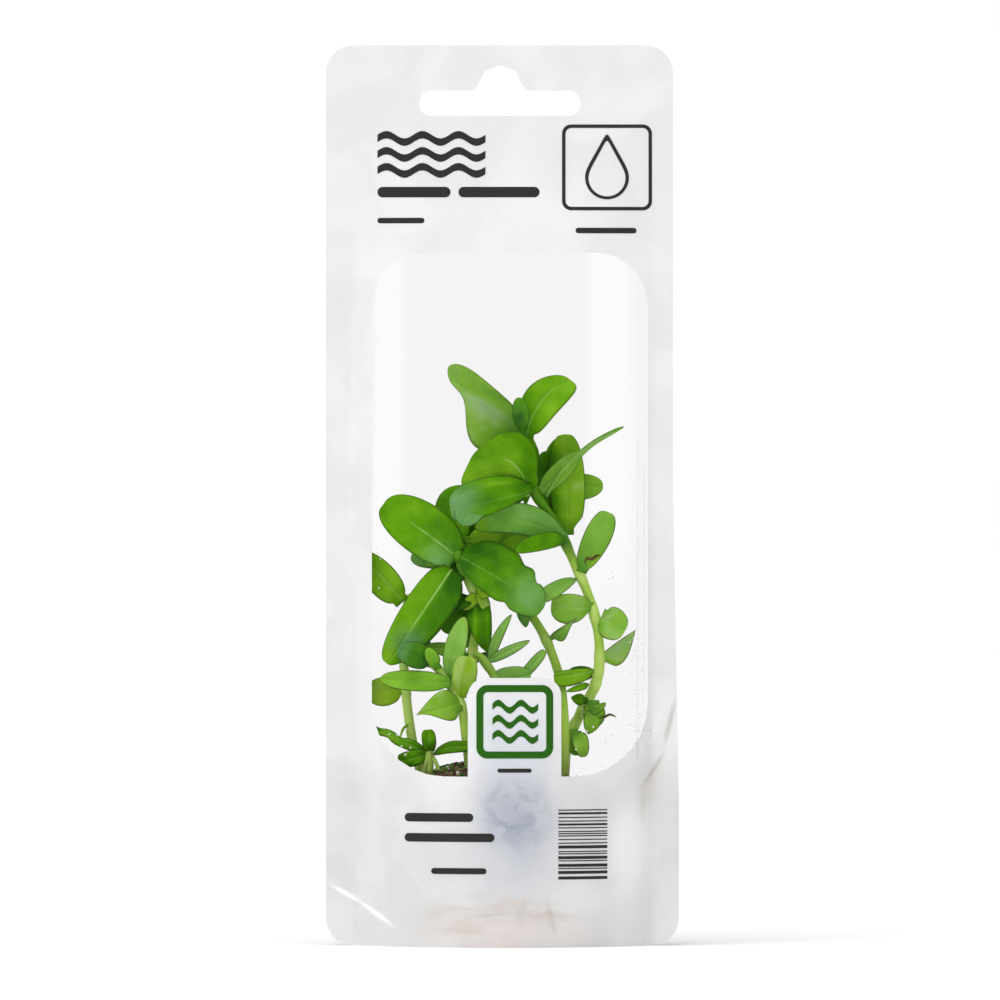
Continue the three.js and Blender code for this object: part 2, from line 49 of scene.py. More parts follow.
# Pouch, as in the solids
POUCH_HEIGHT = 180
POUCH_LEFT = -35.3
POUCH_RIGHT_TOP = 34.1
POUCH_RIGHT_FOOT = 35.3
POUCH_CORNER = 5.5
TAPER_FOOT = 28
TAPER_TOP = 92
SEAL_INSIDE = 29.3
LENS_POWER = 0.8
DEPTHS = np.array([
    (0, 15.5), (6, 17.6), (14, 18.4), (24, 18.6), (34, 18.4), (46, 17.4), (58, 16.2), (70, 15), (82, 13.8),
    (94, 12.4), (104, 11), (113, 9.4), (121, 7.8), (129, 6.1), (137, 4.4), (145, 2.7), (152, 1.2), (158, 0.3),
    (163, 0),
])
SLOT_WIDTH = 32.2
SLOT_BOTTOM = 165.9
SLOT_TOP = 171
SLOT_END = 2.3
CROWN_WIDTH = 11.5
CROWN_TOP = 175.6
CROWN_RADIUS = 2.35
SLOT_X = -0.5
FILM_INSIDE = 0.2
FILM_THICK = 0.16
FILM_STEP = 1.4

# Clear window in the front film, the printed tab that stands up into it, and the plain stripes: left, foot,
# right and top. Marks stand between two heights over the film.
WINDOW = (-26.1, 34.1, 29.1, 138.5)
WINDOW_FOOT_RADIUS = 14.5
WINDOW_TOP_RADIUS = 10.5
TAB = (-6.9, 28, 11.7, 53.7)
TAB_FOOT_RADIUS = 0.5
TAB_TOP_RADIUS = 3.6
STRIPES = (11.1, 13.6, 20.9, 28)
MARK_BACK = 0.01
MARK_FRONT = 0.05

# Creases in the front film: both ends, height and half-width
CREASES = [
    ((-34, 12.6), (-19.4, 0.8), 0.3, 0.7),
    ((33.6, 49), (27.2, 35), 0.35, 0.8),
    ((27.2, 35), (25.6, 26), 0.25, 0.8),
    ((-12, 7.6), (20, 6.9), 0.25, 0.7),
    ((-9, 3.6), (8, 2.6), 0.2, 0.6),
    ((6.5, 9.5), (10.4, 2.6), 0.22, 0.6),
]

# Gusset
GUSSET_HALF_LENGTH = 27.6
GUSSET_FLAT = 15
GUSSET_RISE = 13
GUSSET_LIFT = 0.05

# Pot and root ball
POT_X = -1.6
POT_FLOOR = 0.8
POT_HEIGHT = 33
POT_FOOT_RADIUS = 12.4
POT_TOP_RADIUS = 16.7
POT_RIM_RADIUS = 17.6
POT_WALL = 1.1
POT_SLOTS = 10
POT_SLOT_ROWS = [(5, 15), (18, 28.5)]
POT_SLOT_ANGLE = 6.3
SOIL_TOP = 36.8
SOIL_RIM = 33.4
SOIL_RADIUS = 15.2
CRUMBS = 700
ROOTS = 170
ROOT_RADIUS = 0.13


def placed(name, data):
    thing = bpy.data.objects.new(name, data)
    bpy.context.scene.collection.objects.link(thing)
    return thing


# Materials


def srgb(red, green, blue):
    """A linear colour from display values of 0 to 255."""
    shares = [value / 255 for value in (red, green, blue)]
    return (*(s / 12.92 if s <= 0.04045 else ((s + 0.055) / 1.055) ** 2.4 for s in shares), 1)


class Surface:
    """A material with one Principled shader, and short calls for the nodes that feed it."""

    def __init__(self, name, **values):
        self.material = bpy.data.materials.new(name)
        self.material.use_nodes = True
        self.tree = self.material.node_tree
        self.shader = self.tree.nodes["Principled BSDF"]
        self.place = self.node("TexCoord").outputs["Object"]
        self.set(**values)

    def set(self, **values):
        for name, value in values.items():
            self.feed(self.shader.inputs[name.replace("_", " ")], value)

    def feed(self, socket, value):
        if isinstance(value, bpy.types.NodeSocket):
            self.tree.links.new(value, socket)
        else:
            socket.default_value = value

    def node(self, kind, inputs=(), **settings):
        node = self.tree.nodes.new("ShaderNode" + kind)
        for name, value in settings.items():
            setattr(node, name, value)
        for key, value in dict(inputs).items():
            self.feed(node.inputs[key], value)
        return node

    def attribute(self, name):
        """The three values of a named attribute."""
        return self.parts(self.node("Attribute", attribute_name=name).outputs["Vector"])

    def parts(self, vector):
        return tuple(self.node("SeparateXYZ", {0: vector}).outputs)

    def math(self, operation, *values):
        return self.node("Math", enumerate(values), operation=operation).outputs[0]

    def times(self, first, second):
        return self.math("MULTIPLY", first, second)

    def minus(self, first, second):
        return self.math("SUBTRACT", first, second)

    def step(self, value, low, high, start=0.0, end=1.0):
        """A smooth step from start to end as value goes from low to high."""
        inputs = {"Value": value, "From Min": low, "From Max": high, "To Min": start, "To Max": end}
        return self.node("MapRange", inputs, interpolation_type="SMOOTHSTEP").outputs[0]

    def noise(self, scale, detail=3.0, distortion=0.0):
        """Noise in the object's own space. A scale of three numbers stretches it."""
        place = self.place
        if isinstance(scale, tuple):
            place = self.node("Mapping", {"Vector": place, "Scale": scale}).outputs[0]
            scale = 1.0
        inputs = {"Vector": place, "Scale": scale, "Detail": detail, "Distortion": distortion}
        return self.node("TexNoise", inputs).outputs["Fac"]

    def mix(self, share, first, second):
        """A blend of two colours, each a socket, a linear colour or three display values."""
        first, second = (srgb(*c) if isinstance(c, tuple) and len(c) == 3 else c for c in (first, second))
        return self.node("Mix", {0: share, 6: first, 7: second}, data_type="RGBA").outputs[2]

    def paint(self, color):
        self.color = color
        self.set(Base_Color=color)

    def coat(self, share, *color):
        """Lays a colour over the one so far. share is how much of it shows."""
        self.paint(self.mix(share, self.color, color))

    def ramp(self, value, stops):
        node = self.node("ValToRGB", {0: value})
        elements = node.color_ramp.elements
        while len(elements) < len(stops):
            elements.new(1)
        for element, (at, color) in zip(elements, stops):
            element.position = at
            element.color = srgb(*color)
        return node.outputs[0]

    def spot(self, x, z, half_width, half_height, turn=0.0, soft=0.0):
        """1 inside an ellipse seen from the front, fading to 0 at its edge. turn is in degrees."""
        inputs = {
            "Vector": self.place,
            "Location": (x * MM, 0, z * MM),
            "Rotation": (0, math.radians(turn), 0),
            "Scale": (half_width * MM, 1, half_height * MM),
        }
        turned = self.node("Mapping", inputs, vector_type="TEXTURE").outputs[0]
        flat = self.node("VectorMath", {0: turned, 1: (1, 0, 1)}, operation="MULTIPLY").outputs[0]
        size = self.node("VectorMath", {0: flat}, operation="LENGTH").outputs["Value"]
        return self.step(size, soft, 1.0, 1.0, 0.0)

    def bump(self, height, strength, distance):
        inputs = {"Height": height, "Strength": strength, "Distance": distance}
        self.set(Normal=self.node("Bump", inputs).outputs[0])


# Bands where the window is made clearer, a painted highlight of the film's bulging sides, in metres: the x
# where each starts, is full, fades and ends, and the heights between which they begin
HIGHLIGHT_BANDS = [(-0.0264, -0.0252, -0.0215, -0.0175), (0.0158, 0.0182, 0.024, 0.0275)]
HIGHLIGHT_FROM = (0.055, 0.085)

# Painted shade along the creases and wrinkles of the print: middle, half-width, half-height, turn and tone
CREASE_SHADE_LINES = [
    (33.4, 44.5, 0.9, 7, 14, 178), (30.1, 35, 0.8, 6, 32, 150), (28, 27.5, 1, 6, 4, 182),
    (29.6, 32, 2.4, 7, 22, 212), (9.6, 6, 1.2, 5.5, -14, 182), (3.6, 6, 1.3, 6, 8, 194),
    (-8, 3.4, 7, 0.7, 4, 186), (-2, 6.6, 6, 0.6, -5, 192),
]
# A crease that catches the light: middle, half-width, half-height and turn
BRIGHT_LINES = [(-31.4, 10.5, 5, 0.75, 29), (-25.2, 6.6, 5.8, 0.75, 35)]


def clear_film():
    s = Surface("clear_film", Roughness=0.12, Specular_IOR_Level=0.2)
    x, _, z = s.parts(s.place)
    at = s.math("ADD", x, s.times(s.minus(s.noise((90, 90, 14)), 0.5), 0.006))
    # painted highlight: the film is made clearer in two upright bands, so the white behind shows brighter
    # there
    strips = [s.times(s.step(at, a, b), s.step(at, c, d, 1, 0)) for a, b, c, d in HIGHLIGHT_BANDS]
    painted_highlight = s.times(s.math("MAXIMUM", *strips), s.step(z, *HIGHLIGHT_FROM))
    s.paint(s.mix(s.noise((160, 160, 40)), (8, 9, 9), (44, 48, 50)))
    s.set(Alpha=s.math("MULTIPLY_ADD", painted_highlight, -0.016, 0.028))
    s.bump(s.noise((60, 60, 12), 2), 0.25, 0.0004)
    return s.material


def printed_film():
    s = Surface("printed_film", Roughness=0.34, Alpha=0.95, IOR=1.5)
    cloud = s.noise(120, 4)
    blotch = s.step(s.noise(60, 3, 0.8), 0.35, 0.65)
    web = s.noise(260, 4, 0.9)
    low = s.mix(blotch, (209, 210, 210), (219, 220, 219))
    high = s.mix(blotch, (219, 220, 220), (227, 227, 227))
    s.paint(s.mix(s.step(s.parts(s.place)[2], 0.026, 0.042), low, high))
    # the pot and its damp side lie against the film behind the print
    s.coat(s.times(s.spot(2.5, 24.5, 15, 24, soft=0.1), s.step(cloud, 0.25, 0.7, 0.55, 0.9)), 184, 186, 197)
    s.coat(s.times(s.spot(2.2, 27, 10, 12.5, -20), s.step(web, 0.38, 0.6, 0.45, 0.95)), 138, 146, 164)
    s.coat(s.times(s.spot(2.4, 41, 11, 12, soft=0.3), 0.7), 204, 208, 216)
    # painted reflection: a reddish-brown tint of the soil in the foot of the film, in upright streaks
    soil_reflection = s.step(s.noise((110, 1, 420), 5, 0.8), 0.4, 0.7, 0.25, 0.9)
    s.coat(s.times(s.spot(-1, 5.5, 21, 7.5, soft=0.3), soil_reflection), 200, 188, 182)
    shade = s.step(web, 0.3, 0.6, 0.3, 0.75)
    # painted shade in the creases, broken up by noise
    for *place, tone in CREASE_SHADE_LINES:
        s.coat(s.times(s.spot(*place), shade), tone, tone - 7, tone - 15)
    # painted light: lifts the right side of the print near the foot, which faces away from the lamps
    s.coat(s.spot(25.5, 20, 7, 15, soft=0.2), 237, 237, 235)
    # painted reflection of the soil, a soft reddish band along the very foot
    s.coat(s.times(s.spot(2, 2.5, 30, 6, soft=0.1), 0.5), 222, 211, 207)
    for place in BRIGHT_LINES:
        s.coat(s.spot(*place), 252, 252, 252)
    s.bump(s.noise(220), 0.12, 0.0004)
    return s.material


def ink(name, *color):
    s = Surface(name, Roughness=0.5, Specular_IOR_Level=0.15)
    dark = (*(0.86 * part for part in srgb(*color)[:3]), 1)
    s.paint(s.mix(s.noise(1500), color, dark))
    return s.material


def droplet():
    s = Surface("droplet", Roughness=0.04, Alpha=0.35, IOR=1.33)
    s.paint(s.mix(s.noise(800), (225, 230, 234), (250, 250, 250)))
    return s.material


def pot_plastic():
    s = Surface("pot_plastic")
    scuffs = s.noise((300, 300, 900), 5)
    s.paint(s.mix(s.step(scuffs, 0.5, 0.8), (44, 47, 50), (74, 77, 80)))
    s.set(Roughness=s.step(scuffs, 0.3, 0.7, 0.36, 0.52))
    s.bump(s.noise(1800, 2), 0.15, 0.0002)
    return s.material


def growing_medium(name, dark, middle, light):
    s = Surface(name, Roughness=0.9)
    s.paint(s.ramp(s.noise(700, 6), [(0.3, dark), (0.5, middle), (0.72, light)]))
    s.bump(s.noise(1600, 5), 0.6, 0.0006)
    return s.material


def stem_skin():
    """Reads the attribute paint: x is 1 at a node of the stem and is raised all along a pale stem, which on
    the left stem is painted light; y is 1 where it meets the soil and z is 1 where it is as green as a leaf."""
    s = Surface("stem", Roughness=0.42, Specular_IOR_Level=0.12)
    joint, foot, green = s.attribute("paint")
    fibre = s.noise((2400, 2400, 160))
    s.paint(s.mix(s.noise(260, 2), (156, 194, 62), (184, 214, 100)))
    s.coat(s.step(fibre, 0.45, 0.75, 0.0, 0.5), 124, 168, 44)
    # joint paints the pale nodes, and also the painted light all along the left stem
    s.coat(s.times(joint, 0.6), 198, 224, 124)
    s.coat(green, 84, 140, 20)
    s.coat(s.times(foot, 0.5), 110, 118, 56)
    s.bump(fibre, 0.3, 0.0002)
    return s.material


# Greens of a leaf, from its darkest tone to its palest
GREENS = [(16, 56, 4), (46, 100, 6), (86, 146, 4), (128, 178, 34), (176, 206, 124)]


def leaf_skin():
    """Reads three attributes. blade: distance across from the midrib, half-width there and distance along.
    paint: tone from 0, dark, to 1, pale, partly painted shade and highlight; painted blue sheen; and brown
    damage. trait: how plain the midrib is, how dark the margin is and how yellow the blade is."""
    s = Surface("leaf", Specular_IOR_Level=0.03)
    across, half, along = s.attribute("blade")
    tone, blue, damage = s.attribute("paint")
    plain, edge, yellow = s.attribute("trait")
    out = s.math("ABSOLUTE", across)
    inset = s.minus(half, out)
    mottle = s.noise(330, 4)
    patch = s.noise(120, 2, 0.5)
    rib = s.step(out, 0.06, 0.3, 1.0, 0.0)
    slant = s.minus(s.times(along, 2.1), s.times(out, 1.7))
    slant = s.math("ADD", slant, s.times(patch, 3.0))
    vein = s.times(s.step(s.math("SINE", slant), 0.8, 1.0), s.step(inset, 0.3, 1.4))
    level = s.math("MULTIPLY_ADD", s.minus(mottle, 0.5), 0.3, tone)
    # patch changes the tone at random, partly the blade's own mottling and partly painted shade of its
    # undulations
    level = s.math("MULTIPLY_ADD", s.minus(patch, 0.5), 0.38, level)
    s.paint(s.ramp(level, [(i / 4, green) for i, green in enumerate(GREENS)]))
    s.coat(yellow, 148, 186, 40)
    # painted sheen: a pale blue reflection laid over patches of the blade
    s.coat(s.times(blue, s.step(patch, 0.3, 0.7, 0.6, 1.0)), 122, 164, 116)
    s.coat(s.times(vein, 0.035), 168, 200, 110)
    s.coat(s.times(s.times(rib, plain), s.step(mottle, 0.3, 0.6, 0.5, 1.0)), 172, 204, 118)
    s.coat(s.times(s.step(inset, 0.04, 0.3, 1.0, 0.0), edge), 62, 76, 44)
    s.coat(damage, 96, 72, 40)
    s.set(Roughness=s.step(patch, 0.3, 0.7, 0.42, 0.58))
    s.bump(s.minus(s.times(mottle, 0.5), s.math("ADD", rib, s.times(vein, 0.25))), 0.35, 0.00025)
    return s.material


CLEAR = clear_film()
PRINT = printed_film()
DARK_INK = ink("dark_ink", 44, 42, 41)
GREEN_INK = ink("green_ink", 34, 92, 4)
DROPLET = droplet()
POT = pot_plastic()
SOIL = growing_medium("growing_medium", (28, 18, 12), (70, 46, 32), (122, 88, 60))
PALE_GRAIN = growing_medium("pale_grain", (150, 140, 120), (208, 200, 184), (236, 232, 222))
MOSS = growing_medium("moss", (40, 72, 16), (80, 124, 32), (124, 158, 66))
ROOT = growing_medium("root", (120, 92, 60), (176, 148, 108), (214, 196, 160))
STEM = stem_skin()
LEAF = leaf_skin()


# Meshes


class Mesh:
    """Points and faces gathered from several shapes, with a material number for each face and three named
    values for each point."""

    def __init__(self):
        self.points = []
        self.faces = []
        self.kinds = []
        self.values = {"blade": [], "paint": [], "trait": []}

    def add(self, points, faces, kind=0, **values):
        start = len(self.points)
        self.points.extend(np.asarray(points, float).tolist())
        self.faces.extend([[start + i for i in face] for face in faces])
        self.kinds.extend([kind] * len(faces))
        for label, kept in self.values.items():
            kept.extend(np.asarray(values.get(label, np.zeros((len(points), 3)))).tolist())

    def piece(self, name, materials, node=None, smooth=True, crisp=False):
        """Makes the piece, in place of a node of the solids where one is given."""
        mesh = bpy.data.meshes.new(name)
        mesh.from_pydata((np.array(self.points) * MM).tolist(), [], self.faces)
        for material in materials:
            mesh.materials.append(material)
        mesh.polygons.foreach_set("material_index", self.kinds)
        mesh.polygons.foreach_set("use_smooth", [smooth] * len(self.faces))
        for label, values in self.values.items():
            if np.any(values):
                attribute = mesh.attributes.new(label, "FLOAT_VECTOR", "POINT")
                attribute.data.foreach_set("vector", np.array(values, np.float32).ravel())
        mesh.update()
        if crisp:
            mesh.set_sharp_from_angle(angle=math.radians(60))
        thing = placed(name, mesh)
        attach(thing, "root")
        if node:
            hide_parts(node)
        return thing


def unit(vector):
    return vector / np.linalg.norm(vector)


def bands(rows, sides):
    """The quads between rings of points that follow each other."""
    quads = []
    for i in range(rows - 1):
        for j in range(sides):
            a, b = i * sides + j, i * sides + (j + 1) % sides
            quads.append([a, b, b + sides, a + sides])
    return quads


def open_edges(faces):
    """Edges that only one face has, in that face's direction."""
    edges = dict.fromkeys(pair for face in faces for pair in zip(face, face[1:] + face[:1]))
    return [(a, b) for a, b in edges if (b, a) not in edges]


def sheet(mesh, outer, inner, faces, kind=0, flip=False):
    """A thin closed sheet from the same faces over outer and, turned round, over inner points."""
    count = len(outer)
    every = faces + [[count + p for p in face[::-1]] for face in faces]
    every += [[b, a, count + a, count + b] for a, b in open_edges(faces)]
    mesh.add(np.vstack((outer, inner)), [face[::-1] for face in every] if flip else every, kind)


# Pouch films


def middle_depth(z):
    """Half the depth on the pouch's middle line, as a smooth curve through DEPTHS."""
    heights, depths = DEPTHS.T
    slopes = np.gradient(depths, heights)
    i = np.clip(np.searchsorted(heights, z) - 1, 0, len(heights) - 2)
    gap = heights[i + 1] - heights[i]
    t = np.clip((z - heights[i]) / gap, 0, 1)
    first = (1 + 2 * t) * (1 - t) ** 2 * depths[i] + t * (1 - t) ** 2 * gap * slopes[i]
    second = t * t * (3 - 2 * t) * depths[i + 1] - t * t * (1 - t) * gap * slopes[i + 1]
    return np.maximum(first + second, 0)


def half_depth(x, z):
    across = np.minimum(1, np.abs(x) / SEAL_INSIDE)
    return middle_depth(z) * (1 - across**2) ** LENS_POWER


def front_ripple(x, z):
    wave = 0.16 * np.sin(0.31 * x + 0.9 + 0.6 * np.sin(0.07 * z)) * np.sin(0.09 * z + 0.5)
    wave += 0.1 * np.sin(0.55 * x - 0.05 * z) + 0.08 * np.sin(0.21 * z + 0.16 * x)
    raised = np.clip(half_depth(x, z) / 4, 0, 1) * wave
    for start, end, height, width in CREASES:
        line = np.subtract(end, start)
        t = np.clip(((x - start[0]) * line[0] + (z - start[1]) * line[1]) / (line @ line), 0, 1)
        distance = np.hypot(x - start[0] - t * line[0], z - start[1] - t * line[1])
        raised = raised + height * np.exp(-((distance / width) ** 2)) * np.sin(np.pi * (0.1 + 0.8 * t))
    return raised


def back_ripple(x, z):
    wave = 0.18 * np.sin(0.27 * x - 1.1) * np.sin(0.08 * z + 1.9) + 0.1 * np.sin(0.5 * x + 0.06 * z)
    return np.clip(half_depth(x, z) / 4, 0, 1) * wave


def arc(x, z, radius, start, end, count=8):
    turns = np.radians(np.linspace(start, end, count))
    return np.column_stack((x + radius * np.cos(turns), z + radius * np.sin(turns)))


def round_rect(box, low, high):
    """A rectangle with corners of the radius low at its foot and of the radius high at its top."""
    x0, z0, x1, z1 = box
    corners = [(x1 - low, z0 + low, low), (x1 - high, z1 - high, high)]
    corners += [(x0 + high, z1 - high, high), (x0 + low, z0 + low, low)]
    return np.vstack([arc(*corner, 90 * i - 90, 90 * i) for i, corner in enumerate(corners)])


def pouch_outline():
    r = POUCH_CORNER
    return np.vstack((
        arc(POUCH_RIGHT_FOOT - r, r, r, -90, 0),
        [(POUCH_RIGHT_FOOT, TAPER_FOOT), (POUCH_RIGHT_TOP, TAPER_TOP)],
        arc(POUCH_RIGHT_TOP - r, POUCH_HEIGHT - r, r, 0, 90),
        arc(POUCH_LEFT + r, POUCH_HEIGHT - r, r, 90, 180),
        arc(POUCH_LEFT + r, r, r, 180, 270),
    ))


def hang_slot():
    """The right half, from its foot to the top of the crown, and the same mirrored."""
    reach = SLOT_WIDTH / 2 - SLOT_END
    crown = CROWN_WIDTH / 2
    t = np.linspace(0, 0.75, 7)
    side = np.column_stack((crown - 3.4 * t**0.8, (CROWN_TOP - SLOT_TOP) * (t * t * (3 - 2 * t)) ** 0.9))
    right = np.vstack((
        arc(reach, SLOT_BOTTOM + SLOT_END, SLOT_END, -90, 0),
        arc(reach, SLOT_TOP - SLOT_END, SLOT_END, 0, 90),
        side + (0, SLOT_TOP),
        arc(0, CROWN_TOP - 2, CROWN_RADIUS, 58, 90, 4),
    ))
    return np.vstack((right, (right[:-1] * (-1, 1))[::-1])) + (SLOT_X, 0)


def dense(line, closed, step):
    """The same line with points no further apart than step."""
    ends = np.vstack((line, line[:1])) if closed else np.asarray(line)
    points = []
    for start, end in zip(ends[:-1], ends[1:]):
        count = max(1, math.ceil(np.linalg.norm(end - start) / step))
        points.extend(start + (end - start) * i / count for i in range(count))
    if not closed:
        points.append(ends[-1])
    return np.array(points)


def inside(points, loop):
    x, z = points[:, 0], points[:, 1]
    found = np.zeros(len(points), bool)
    for (x0, z0), (x1, z1) in zip(loop, np.roll(loop, -1, axis=0)):
        if z0 != z1:
            found ^= ((z0 > z) != (z1 > z)) & (x < x0 + (z - z0) * (x1 - x0) / (z1 - z0))
    return found


def triangulate(outline, holes, loops=(), lines=(), step=FILM_STEP):
    """Points, triangles and the middle of each triangle inside the outline and outside its holes. Every loop
    and line stays as edges."""
    points, edges = [], []
    closed = [(loop, True) for loop in (outline, *holes, *loops)]
    for line, is_closed in closed + [(line, False) for line in lines]:
        fine = dense(line, is_closed, step)
        start, count = len(points), len(fine)
        points.extend(fine.tolist())
        edges.extend((start + i, start + (i + 1) % count) for i in range(count if is_closed else count - 1))
    border = np.array(points)
    low, high = border.min(0), border.max(0)
    xs, zs = (np.linspace(a, b, max(2, math.ceil((b - a) / step))) for a, b in zip(low, high))
    grid = np.stack(np.meshgrid(xs, zs), -1).reshape(-1, 2)
    clear = np.array([np.hypot(*(border - p).T).min() > 0.4 * step for p in grid])
    every = np.vstack((border, grid[clear]))
    found = delaunay_2d_cdt([Vector(p) for p in every], edges, [], 0, 1e-5)
    flat, triangles = np.array([tuple(p) for p in found[0]]), np.array([tuple(f) for f in found[2]])
    middles = flat[triangles].mean(1)
    kept = inside(middles, outline)
    for hole in holes:
        kept &= ~inside(middles, hole)
    return flat, triangles[kept], middles[kept]


def depth(ripple, extra=0):
    return lambda x, z: half_depth(x, z) + ripple(x, z) + FILM_INSIDE + extra


def shell(mesh, flat, triangles, outer, inner, side):
    """A thin closed sheet over triangles in the front plane. outer and inner give its depth at each point."""
    used = np.unique(triangles)
    number = {int(p): i for i, p in enumerate(used)}
    faces = [[number[int(p)] for p in face] for face in triangles]
    x, z = flat[used].T
    layers = [np.column_stack((x, side * layer(x, z), z)) for layer in (outer, inner)]
    sheet(mesh, *layers, faces, flip=side > 0)


OUTLINE = pouch_outline()
SLOT = hang_slot()
WINDOW_LOOP = round_rect(WINDOW, WINDOW_FOOT_RADIUS, WINDOW_TOP_RADIUS)
TAB_LOOP = round_rect(TAB, TAB_FOOT_RADIUS, TAB_TOP_RADIUS)


def film(name, flat, triangles, ripple, side, material, node=None):
    mesh = Mesh()
    shell(mesh, flat, triangles, depth(ripple, FILM_THICK), depth(ripple), side)
    mesh.piece(name, [material], node, crisp=True)


def films():
    creases = []
    for start, end, _, width in CREASES:
        ends = np.array([start, end])
        along = ends[1] - ends[0]
        side = unit(np.array([along[1], -along[0]]))
        creases += [ends + side * k * width for k in (-1.6, -0.8, 0, 0.8, 1.6)]
    flat, triangles, middles = triangulate(OUTLINE, [SLOT], [WINDOW_LOOP, TAB_LOOP], creases)
    window = inside(middles, WINDOW_LOOP) & ~inside(middles, TAB_LOOP)
    film("film_front_print", flat, triangles[~window], front_ripple, -1, PRINT, "pouch_front")
    film("film_front_window", flat, triangles[window], front_ripple, -1, CLEAR)
    flat, triangles, _ = triangulate(OUTLINE, [SLOT])
    film("film_back", flat, triangles, back_ripple, 1, CLEAR, "pouch_back")


def gusset():
    """The folded foot of the pouch: flat in the middle, rising and crumpled toward both ends."""
    stations, lanes = 56, 20
    i, j = (n.ravel() for n in np.mgrid[: stations + 1, : lanes + 1])
    x = GUSSET_HALF_LENGTH * (2 * i / stations - 1)
    out = np.maximum(0, np.abs(x) - GUSSET_FLAT) / (GUSSET_HALF_LENGTH - GUSSET_FLAT)
    share = 2 * j / lanes - 1
    rise = GUSSET_RISE * out**2
    crumple = 0.12 * out * (1 - share**2) * np.sin(2.4 * share + 0.9 * i)
    points = np.column_stack((x, (half_depth(x, rise) - 0.1) * share, rise + GUSSET_LIFT + crumple))
    row = lanes + 1
    faces = [[a, a + row, a + row + 1, a + 1] for a in range(stations * row) if a % row < lanes]
    mesh = Mesh()
    sheet(mesh, points + (0, 0, FILM_THICK), points, faces)
    mesh.piece("film_gusset", [CLEAR], "pouch_gusset", crisp=True)


# Print: plain generic marks in place of the pouch's own words and pictures


def bar(x0, z0, x1, z1, radius=None):
    radius = min(x1 - x0, z1 - z0) / 2 * 0.98 if radius is None else radius
    return round_rect((x0, z0, x1, z1), radius, radius)


def drop(x, z, radius, height):
    """A water drop: a circle whose top is drawn out to a point."""
    turns = np.linspace(0, 2 * math.pi, 48, endpoint=False)
    pull = np.maximum(0, np.sin(turns)) ** 3
    across = radius * np.cos(turns) * (1 - 0.55 * pull)
    return np.column_stack((x + across, z + radius * np.sin(turns) + height * pull))


def wave_band(x0, x1, z, swing, thick, turns):
    xs = np.linspace(x0, x1, 12 * turns + 1)
    mid = z + swing * np.sin((xs - x0) / (x1 - x0) * 2 * math.pi * turns)
    return np.vstack((np.column_stack((xs, mid - thick / 2)), np.column_stack((xs, mid + thick / 2))[::-1]))


def marks(name, shapes, material=DARK_INK):
    """Flat marks on the front film. Each shape is an outline and the holes in it."""
    mesh = Mesh()
    over, under = (depth(front_ripple, FILM_THICK + extra) for extra in (MARK_FRONT, MARK_BACK))
    for outline, *holes in shapes:
        flat, triangles, _ = triangulate(outline, holes, step=1.0)
        shell(mesh, flat, triangles, over, under, -1)
    mesh.piece(name, [material], smooth=False)


def print_marks():
    waves = [[wave_band(-25, -3.4, z, 0.75, 1.5, 3)] for z in (161.4, 158.2, 155)]
    words = [(-25, 149.6, -10.4, 151.7), (-8.8, 149.6, 7.4, 151.7), (-25, 144.4, -15.6, 145.5)]
    marks("print_header", waves + [[bar(*word)] for word in words])
    border = [bar(11.9, 147, 29.9, 164.2, 1.8), bar(12.6, 147.7, 29.2, 163.5, 1.2)]
    water = [drop(20.9, 153.6, 4.4, 4.2), drop(20.9, 153.5, 3.7, 3.7)]
    marks("print_badge", [border, water, [bar(14.6, 142.4, 26.8, 143.5)]])
    square = [bar(-5.2, 37.7, 10.1, 52.3, 2.2), bar(-3.8, 39.1, 8.7, 50.9, 0.9)]
    waves = [[wave_band(-2, 7.1, z, 0.75, 1.3, 2)] for z in (48, 45, 42)]
    marks("print_ring", [square, *waves], GREEN_INK)
    words = [(-1, 34.9, 5.8, 35.7), (-19.5, 25.1, -5.8, 26.8), (-19.5, 21.1, -1.6, 22.8)]
    words += [(-14.2, 14.7, -3.2, 15.9)]
    marks("print_lines", [[bar(*word)] for word in words])
    marks("film_fold", [[bar(26.7, 37, 27.3, 101)], [bar(28.1, 52, 28.5, 96)]], CLEAR)
    random.seed(11)
    left, foot, right, top = STRIPES
    stripes, z = [], foot
    while z < top - 0.4:
        thick = random.choice((0.22, 0.22, 0.4, 0.6))
        stripes.append([bar(left, z, right, min(top, z + thick), 0.05)])
        z += thick + random.choice((0.22, 0.36, 0.5))
    marks("print_stripes", stripes)


films()
gusset()
print_marks()


# Pot and what it holds


def revolve(profile, angles):
    turns = np.radians(angles)
    return [(r * math.cos(a), r * math.sin(a), z) for r, z in profile for a in turns]


def pot_radius(z):
    return POT_FOOT_RADIUS + (POT_TOP_RADIUS - POT_FOOT_RADIUS) * z / (POT_HEIGHT - 1.8)


